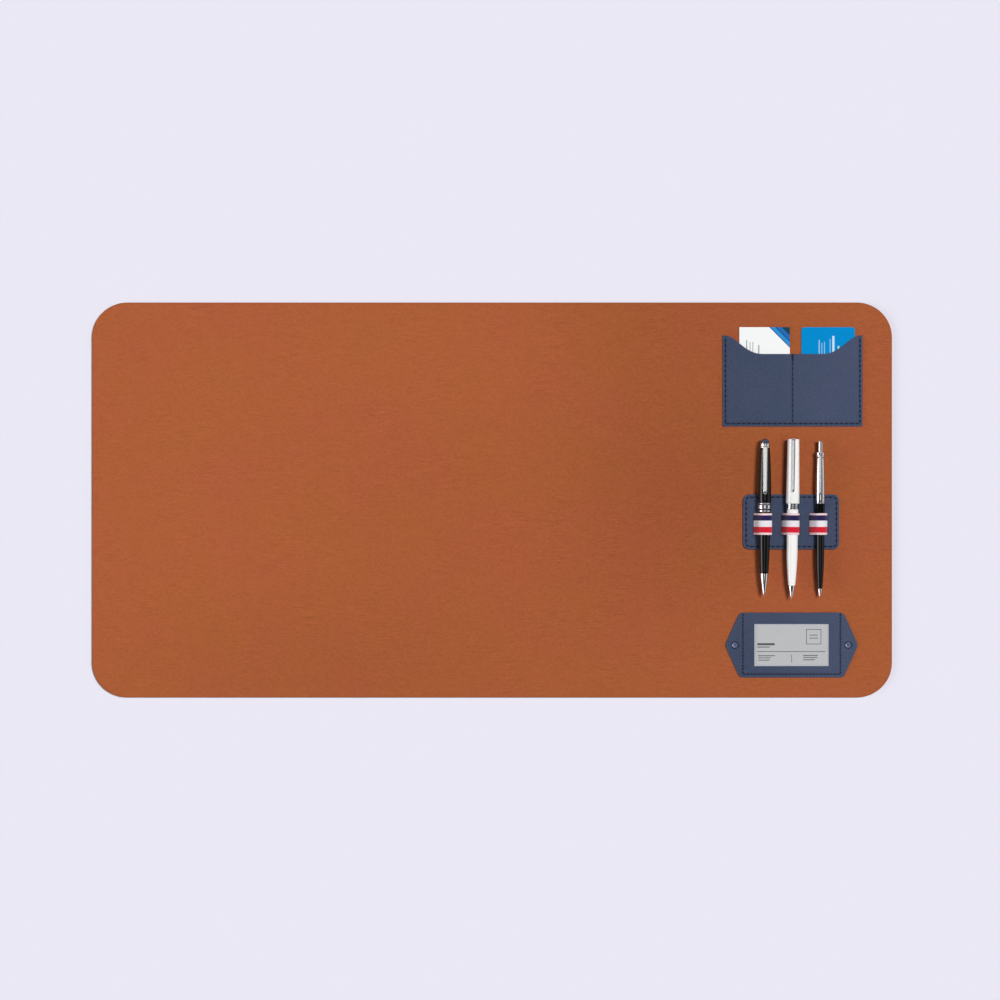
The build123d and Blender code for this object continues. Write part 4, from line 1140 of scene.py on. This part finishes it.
def makeRivet(name, sign, look):
    centreX, centreY = tag["centre"]
    side, up, forward = np.array([[0.0, 1.0, 0.0], [1.0, 0.0, 0.0], [0.0, 0.0, 1.0]])
    point = np.array([centreX + sign * tag["rivetX"], centreY, tag["rimTop"]])
    place = {"point": point, "side": side, "up": up, "forward": forward}
    rim = softened([
        (-0.02, look["rim"] - 0.1), (look["rimTop"] * 0.6, look["rim"]),
        (look["rimTop"], look["rim"] - 0.35), (look["rimTop"] - 0.12, look["dome"] + 0.2),
        (0.1, look["dome"]), (-0.02, look["socket"] + 0.05),
    ], 0.12, closed=True)
    base = [
        (look["depth"], 0.0), (look["depth"], look["socket"]), (0.05, look["socket"]),
        (0.05, look["dome"] - 0.1), (look["rimTop"] - 0.2, look["dome"]),
    ]
    crown = domed(look["rimTop"] - 0.05, look["rise"], look["dome"])
    dome = np.concatenate([base, crown])
    turned(f"{name}Rim", rim, place, darkRivet, "tag_rivet_caps", around=48)
    turned(f"{name}Dome", dome, place, rivetSteel, "tag_rivet_caps", poles=True, around=48)


makeRivet("rivetLeft", -1, rivet)
makeRivet("rivetRight", 1, rivet)
print("rivets made")


# ---- the pens: turned pieces and swept clips
clipLook = {
    "steps": 64, "around": 24, "bend": 1.1, "closing": 0.035, "leastWidth": 0.03,
    "leastThick": 0.25,
}


def clipArm(name, path, size, place, finish, node, body, square=0.5):
    # an oval section carried along the arm's path: its half width times the cosine and its half
    # thickness times the sine, each to the power square, so 0.5 is a flat bar and 1 an ellipse; it
    # narrows to its tip, where it closes as the square root of what is left
    look = clipLook
    width, tipWidth, thick = size
    path = evenly(softened(np.asarray(path, float), look["bend"]), look["steps"])
    heading = np.gradient(path, axis=0)
    heading /= np.linalg.norm(heading, axis=1)[:, None]
    outward = np.stack([heading[:, 1], -heading[:, 0]], -1)
    share = np.linspace(0, 1, look["steps"])
    closing = np.sqrt(np.clip((1 - share) / look["closing"], 0, 1))
    halfWidth = (width + (tipWidth - width) * share) / 2 * np.clip(closing, look["leastWidth"], 1)
    halfThick = thick / 2 * np.clip(closing, look["leastThick"], 1) ** 0.5
    a = np.linspace(0, 2 * math.pi, look["around"], endpoint=False)
    flatX, flatY = (np.sign(wave) * np.abs(wave) ** square for wave in (np.cos(a), np.sin(a)))
    spine = path[:, None, :] + outward[:, None, :] * (halfThick[:, None] * flatY)[..., None]
    points = (
        place["point"] + spine[..., :1] * place["forward"] + spine[..., 1:] * place["up"]
        + (halfWidth[:, None] * flatX)[..., None] * place["side"]
    ).reshape(-1, 3)
    faces = tubeFaces(look["steps"], look["around"])
    putPiece(name, points, faces, finish, node, body, crisp=50.0)


def makeBlackPen(place):
    lower, upper = "black_pen_lower", "black_pen_upper"
    cone = np.concatenate([
        [(12.1, 0.95), (2.6, 0.95)], swelled((2.6, 1.2), (21.6, 4.02), 0.35),
        [(21.6, 3.86), (21.9, 3.86), (21.9, 4.1), (22.4, 4.1), (22.4, 3.1), (30.4, 3.1)],
        [(30.4, 1.85), (12.1, 1.85)],
    ])
    turned("blackPenCone", cone, place, chrome, "black_pen_cone", lower)
    barrel = np.concatenate([
        [(30.4, 3.7), (30.4, 3.1), (22.4, 3.1), (22.4, 4.15)],
        swelled((22.6, 4.3), (83.4, 6.25), 0.25), [(83.7, 6.05), (83.7, 3.7)],
    ])
    turned("blackPenBarrel", barrel, place, blackResin, "black_pen_barrel", lower)
    cap = np.concatenate([
        [(117.7, 0.0), (117.7, 3.4), (84.0, 3.4), (84.0, 6.0), (93.0, 6.0), (93.0, 6.25)],
        swelled((93.25, 6.42), (147.7, 4.85), 0.45), [(147.9, 4.7), (147.9, 1.5), (141.9, 1.5)],
        [(141.9, 0.0)],
    ])
    turned("blackPenCap", cap, place, blackResin, "black_pen_cap", upper, True)
    rings = {"Low": (84.1, 85.8, 6.6), "Wide": (87.1, 91.1, 6.85), "High": (91.8, 92.8, 6.6)}
    for ring, (start, end, radius) in rings.items():
        profile = np.concatenate([
            [(end, 6.0), (start, 6.0), (start, radius - 0.2)],
            swelled((start + 0.2, radius - 0.06), (end - 0.2, radius - 0.06), 0.06, 9),
            [(end, radius - 0.2)],
        ])
        name = f"blackPenRing{ring}"
        turned(name, profile, place, chrome, "black_pen_rings", upper)
    collar = softened(
        [(152.2, 1.5), (147.9, 1.5), (147.9, 4.75), (149.2, 4.75), (149.4, 4.6), (149.7, 4.75),
         (152.2, 4.75)], 0.14, closed=True,
    )
    turned("blackPenCollar", collar, place, clipSteel, "black_pen_clip", upper)
    arm = [(150.1, 4.2), (150.1, 6.0), (104.6, 7.82), (101.5, 6.95)]
    clipArm("blackPenClip", arm, (4.8, 3.8, 1.0), place, clipSteel, "black_pen_clip", upper)
    finial = np.concatenate([
        [(141.9, 0.0), (141.9, 1.5), (152.2, 1.5), (152.2, 3.9), (152.45, 4.1)],
        domed(154.5, 2.6, 4.1, 18),
    ])
    turned("blackPenFinial", finial, place, inkResin, "black_pen_finial", upper, True)


# the grooves of the white pen's band: radius + depth * cos of so many turns along the run
grooves = {
    "count": 9, "steps": 45, "radius": 6.22, "depth": 0.09, "start": 90.9, "length": 3.1,
}


def makeWhitePen(place):
    lower, upper = "white_pen_lower", "white_pen_upper"
    cone = softened([
        (8.1, 0.95), (2.6, 0.95), (2.6, 1.2), (6.2, 1.95), (6.4, 1.85), (6.7, 2.05), (12.9, 3.3),
        (13.1, 3.15), (13.5, 3.4), (13.5, 2.75), (21.5, 2.75), (21.5, 1.85), (8.1, 1.85),
    ], 0.1, closed=True)
    turned("whitePenCone", cone, place, chrome, "white_pen_cone", lower)
    barrel = np.concatenate([
        [(21.5, 3.7), (21.5, 2.75), (13.5, 2.75), (13.5, 3.45)],
        swelled((13.6, 3.56), (43.5, 5.55), 0.25), [(60.0, 5.65), (75.0, 5.73), (89.1, 5.8)],
        [(89.3, 5.65), (89.3, 3.7)],
    ])
    turned("whitePenBarrel", barrel, place, whiteResin, "white_pen_barrel", lower)
    cap = np.concatenate([
        [(123.3, 0.0), (123.3, 3.4), (89.6, 3.4), (89.6, 5.6), (95.3, 5.6), (95.3, 6.7)],
        [(95.5, 6.84), (115.0, 6.56), (137.0, 6.23), (158.2, 5.93)],
        softened([(158.2, 5.93), (159.6, 5.9), (159.6, 4.4)], 1.2, steps=9)[1:], [(159.6, 0.0)],
    ])
    turned("whitePenCap", cap, place, whiteResin, "white_pen_cap", upper, True)
    share = np.linspace(0, 1, grooves["steps"])
    ridge = np.cos(share * 2 * math.pi * grooves["count"])
    knurl = grooves["radius"] + grooves["depth"] * ridge
    run = grooves["start"] + grooves["length"] * share
    band = np.concatenate([
        [(95.3, 5.6), (89.6, 5.6), (89.6, 6.3)], swelled((89.7, 6.42), (90.7, 6.42), 0.08, 7),
        [(90.8, 6.15)], np.stack([run, knurl], -1), [(94.1, 6.15)],
        swelled((94.2, 6.42), (95.2, 6.42), 0.08, 7), [(95.3, 6.3)],
    ])
    turned("whitePenBand", band, place, chrome, "white_pen_band", upper)
    arm = [(160.0, 0.3), (160.0, 7.1), (108.4, 7.95), (106.2, 7.2)]
    size = (3.4, 2.6, 1.0)
    clipArm("whitePenClip", arm, size, place, chrome, "white_pen_clip", upper, 0.95)


def makeClickPen(place):
    body = "click_pen_body"
    cone = softened([
        (4.0, 0.75), (0.0, 0.75), (0.0, 0.85), (1.6, 1.16), (1.7, 1.08), (2.0, 1.24), (6.6, 2.12),
        (6.8, 2.0), (7.3, 2.25), (7.3, 1.9), (9.3, 1.9), (9.3, 1.25), (4.0, 1.25),
    ], 0.06, closed=True)
    turned("clickPenCone", cone, place, chrome, "click_pen_cone", body)
    barrel = np.concatenate([
        [(16.0, 2.3), (16.0, 1.9), (7.3, 1.9), (7.3, 2.3)],
        swelled((7.4, 2.38), (40.3, 4.1), 0.35), [(60.0, 4.27), (92.2, 4.55), (92.4, 4.45)],
        [(92.4, 3.1), (100.4, 3.1), (100.4, 2.3)],
    ])
    turned("clickPenBarrel", barrel, place, blackResin, "click_pen_barrel", body)
    cap = np.concatenate([
        [(138.5, 3.1), (92.4, 3.1), (92.4, 4.5), (92.6, 4.68), (93.9, 4.72), (94.1, 4.62)],
        swelled((94.3, 4.74), (138.7, 3.85), 0.28), [(138.9, 3.75), (138.9, 2.55), (138.5, 2.55)],
    ])
    turned("clickPenCap", cap, place, penSteel, "click_pen_cap", body)
    collar = softened([
        (144.0, 2.55), (138.9, 2.55), (138.9, 4.0), (139.4, 4.35), (140.4, 4.35), (140.6, 4.2),
        (140.9, 4.35), (143.2, 4.35), (144.0, 3.7),
    ], 0.15, closed=True)
    turned("clickPenCollar", collar, place, penSteel, "click_pen_clip", body)
    arm = [(141.5, 3.9), (141.5, 5.7), (103.3, 6.02), (100.7, 5.35)]
    size = (3.2, 2.4, 1.1)
    clipArm("clickPenClip", arm, size, place, penSteel, "click_pen_clip", body, 0.9)
    button = np.concatenate([
        [(112.0, 0.0), (112.0, 2.0), (136.3, 2.0), (136.3, 2.75), (138.3, 2.75), (138.3, 2.4)],
        [(146.5, 2.4), (152.8, 2.32)],
        softened([(152.8, 2.32), (154.9, 2.3), (154.9, 0.9)], 1.1, steps=9)[1:], [(154.9, 0.0)],
    ])
    node = "click_pen_button"
    turned("clickPenButton", button, place, penSteel, node, node, True)


spring = {
    "radius": 1.42, "wire": 0.16, "turns": 7.2, "low": 9.3, "high": 24.0, "flat": 0.09,
    "steps": 180, "sides": 8,
}


def makeSpring(place, look):
    # a wire wound on a cylinder: radius * (cos a * side + sin a * up) + run * forward, where the
    # run stands still over the flat first and last part of a turn; the wire's own round is added
    # outwards and along; it sits between the pen's body and the refill, and rides on no body
    share = np.linspace(0, 1, look["steps"])[:, None]
    turn = share * 2 * math.pi * look["turns"]
    run = np.clip((share - look["flat"]) / (1 - 2 * look["flat"]), 0, 1)
    low, high = look["low"] + look["wire"], look["high"] - look["wire"]
    out = np.cos(turn) * place["side"] + np.sin(turn) * place["up"]
    middle = place["point"] + look["radius"] * out + (low + (high - low) * run) * place["forward"]
    a = (np.arange(look["sides"]) * 2 * math.pi / look["sides"])[:, None]
    section = np.cos(a) * out[:, None] + np.sin(a) * place["forward"]
    points = (middle[:, None] + look["wire"] * section).reshape(-1, 3)
    faces = tubeFaces(look["steps"], look["sides"])
    coil = putPiece("clickPenSpring", points, faces, springSteel, "click_pen_spring", None)
    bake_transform(coil)


makeBlackPen(penPlaces["black"])
makeWhitePen(penPlaces["white"])
makeClickPen(penPlaces["click"])
makeSpring(penPlaces["click"], spring)
print("pens made")


# ---- CAD nodes that stay, with their own finishes
def dress(node, finish):
    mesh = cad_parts[node].data
    mesh.materials.clear()
    mesh.materials.append(finish)


cardLook = {
    "white": {
        "colour": (246, 247, 247), "ink": (150, 156, 162),
        "bars": [
            (254.0, 255.2, 100.0, 160.0, 0.9), (257.5, 258.5, 112.0, 158.0, 0.7),
            (260.3, 261.3, 118.0, 158.0, 0.7), (266.0, 267.4, 126.0, 155.0, 0.9),
        ],
        "bands": [
            (450.0, 450.9, (24, 42, 84)), (450.9, 456.0, (44, 142, 214)),
            (456.0, 457.0, (20, 40, 80)), (457.0, 462.5, (38, 108, 178)),
            (462.5, 463.3, (20, 40, 80)), (463.3, 475.0, (28, 66, 84)),
        ],
    },
    "blue": {
        "colour": (1, 138, 206), "ink": (212, 234, 246),
        "bars": [
            (326.6, 327.6, 118.0, 160.0, 0.6), (329.4, 330.2, 126.0, 157.0, 0.5),
            (332.0, 332.8, 122.0, 158.0, 0.5), (337.6, 338.4, 130.0, 161.0, 0.5),
            (340.2, 342.4, 120.0, 164.0, 0.9), (345.6, 347.2, 128.0, 154.0, 0.8),
        ],
    },
    "name": {
        "colour": (191, 191, 190), "ink": (24, 24, 27),
        "bars": [
            (265.4, 282.6, -145.3, -143.1, 0.97), (265.4, 277.6, -147.6, -146.5, 0.8),
            (264.8, 333.0, -151.9, -151.2, 0.9),
            (299.3, 299.9, -162.4, -154.6, 0.9), (266.2, 283.0, -156.2, -155.2, 0.85),
            (266.2, 278.8, -158.3, -157.3, 0.75), (266.2, 277.4, -160.6, -159.6, 0.8),
            (311.0, 325.6, -155.9, -154.9, 0.85), (311.0, 325.2, -158.0, -157.0, 0.75),
            (311.0, 322.8, -160.2, -159.2, 0.8), (314.0, 329.2, -129.8, -129.1, 0.8),
            (314.0, 329.2, -144.3, -143.6, 0.8), (314.0, 314.7, -144.3, -129.1, 0.8),
            (328.5, 329.2, -144.3, -129.1, 0.8), (317.4, 325.8, -135.6, -134.6, 0.65),
            (317.4, 325.8, -138.6, -137.6, 0.65),
        ],
    },
}
for card, look in cardLook.items():
    dress(f"{card}_card", paper(f"{card}Paper", **look))
for node, finish in (
    ("pad_core", greyBoard), ("tag_rivet_posts", rivetSteel), ("click_pen_refill", greyPlastic),
    ("black_pen_sleeve", brass), ("white_pen_sleeve", brass),
    ("black_pen_refill", springSteel), ("white_pen_refill", springSteel),
):
    dress(node, finish)
print("cards printed, hidden nodes finished")


# ---- stage, light and camera
view = {
    "centre": (8.0, 0.0), "width": 1000.0, "plane": 2.6, "lens": 200.0, "sensor": 36.0,
    "clip": (0.1, 100.0),  # nearest and farthest that it sees, in metres
}
studio = {
    "backdrop": (234, 232, 244), "plain": (1.0, 0.995, 1.0, 1.0),
    "skyLevel": 0.03, "skyGloss": 0.04, "overhead": 0.45, "overheadGloss": 0.40,
    "leftStrip": 3.10, "rightStrip": 0.75, "stripGloss": 0.6,
    # where the boxes begin and end in a unit direction: its Y for stripShift, stripEnd and
    # endSide, its Z for the others
    "overheadEdge": (0.95, 0.985), "stripLow": (0.10, 0.22), "stripHigh": (0.50, 0.66),
    "stripShift": 0.14, "stripEnd": (0.24, 0.40), "endSide": (0.42, 0.62),
    "endTop": (0.45, 0.70), "horizonTop": (0.05, 0.14),
    "sunLevel": 2.722, "sunSoftness": 16.0, "sunFrom": (0.37, 0.16, 1.0),
    "floorSize": 60.0, "floorDrop": 0.3,
}


def makeFloor(look):
    size = look["floorSize"] / 2
    mesh = bpy.data.meshes.new("floor")
    drop = -look["floorDrop"] * mm
    mesh.from_pydata(
        [(-size, -size, drop), (size, -size, drop), (size, size, drop), (-size, size, drop)], [],
        [(0, 1, 2, 3)],
    )
    floor = bpy.data.objects.new("floor", mesh)
    bpy.context.scene.collection.objects.link(floor)
    material, bench = newFinish("floorPaint")
    finishWith(bench, {
        "Base Color": rgba(look["backdrop"]), "Roughness": 1.0, "Specular IOR Level": 0.0,
    })
    mesh.materials.append(material)


def makeSky(look):
    # three soft boxes in a dim room, one overhead and a long one low on either side; the sky shows
    # the backdrop's own colour where it is seen, also through clear pieces, and gloss shows it
    # along the horizon and in front and behind
    world = bpy.data.worlds.new("studioSky")
    bpy.context.scene.world = world
    world.use_nodes = True
    bench = Bench(world.node_tree)
    x, y, z = bench.split(bench.add("ShaderNodeTexCoord", output="Generated"))
    low = bench.smooth(z, *look["stripLow"]) * (1 - bench.smooth(z, *look["stripHigh"]))
    across = bench.maths("ABSOLUTE", y + look["stripShift"])
    low = low * (1 - bench.smooth(across, *look["stripEnd"]))
    inCamera, inGloss, through = (
        bench.add("ShaderNodeLightPath", output=f"Is {kind} Ray")
        for kind in ("Camera", "Glossy", "Transmission")
    )
    strips = (x < 0) * look["leftStrip"] * (1 + inGloss * look["stripGloss"])
    strips = strips + (x > 0) * look["rightStrip"]
    overhead = look["overhead"] + inGloss * look["overheadGloss"]
    overhead = bench.smooth(z, *look["overheadEdge"]) * overhead
    level = look["skyLevel"] + inGloss * look["skyGloss"] + overhead + low * strips
    ends = bench.smooth(bench.maths("ABSOLUTE", y), *look["endSide"])
    ends = ends * (1 - bench.smooth(z, *look["endTop"]))
    horizon = 1 - bench.smooth(z, *look["horizonTop"])
    seen = inCamera + through + inGloss * bench.maths("MAXIMUM", ends, horizon)
    plain, backdrop = (
        bench.add("ShaderNodeBackground", {}, {"Color": colour, "Strength": strength})
        for colour, strength in ((look["plain"], level), (rgba(look["backdrop"]), 1.0))
    )
    mixed = bench.add("ShaderNodeMixShader", {}, {0: seen, 1: plain, 2: backdrop})
    bench.add("ShaderNodeOutputWorld", {}, {"Surface": mixed})


def makeSun(look):
    lamp = bpy.data.lights.new("keySun", "SUN")
    lamp.energy = look["sunLevel"]
    lamp.angle = math.radians(look["sunSoftness"])
    sun = bpy.data.objects.new("keySun", lamp)
    sun.rotation_mode = "QUATERNION"
    sun.rotation_quaternion = (-Vector(look["sunFrom"])).to_track_quat("-Z", "Y")
    sun.visible_glossy = False
    bpy.context.scene.collection.objects.link(sun)


def makeCamera(look):
    data = bpy.data.cameras.new("above")
    data.lens, data.sensor_width = look["lens"], look["sensor"]
    height = look["plane"] + look["width"] * look["lens"] / look["sensor"]
    data.clip_start, data.clip_end = look["clip"]
    camera = bpy.data.objects.new("above", data)
    camera.location = (look["centre"][0] * mm, look["centre"][1] * mm, height * mm)
    bpy.context.scene.collection.objects.link(camera)
    bpy.context.scene.camera = camera


makeFloor(studio)
makeSky(studio)
makeSun(studio)
makeCamera(view)
bpy.context.scene.view_settings.view_transform = "Standard"
print("stage, light and camera set")
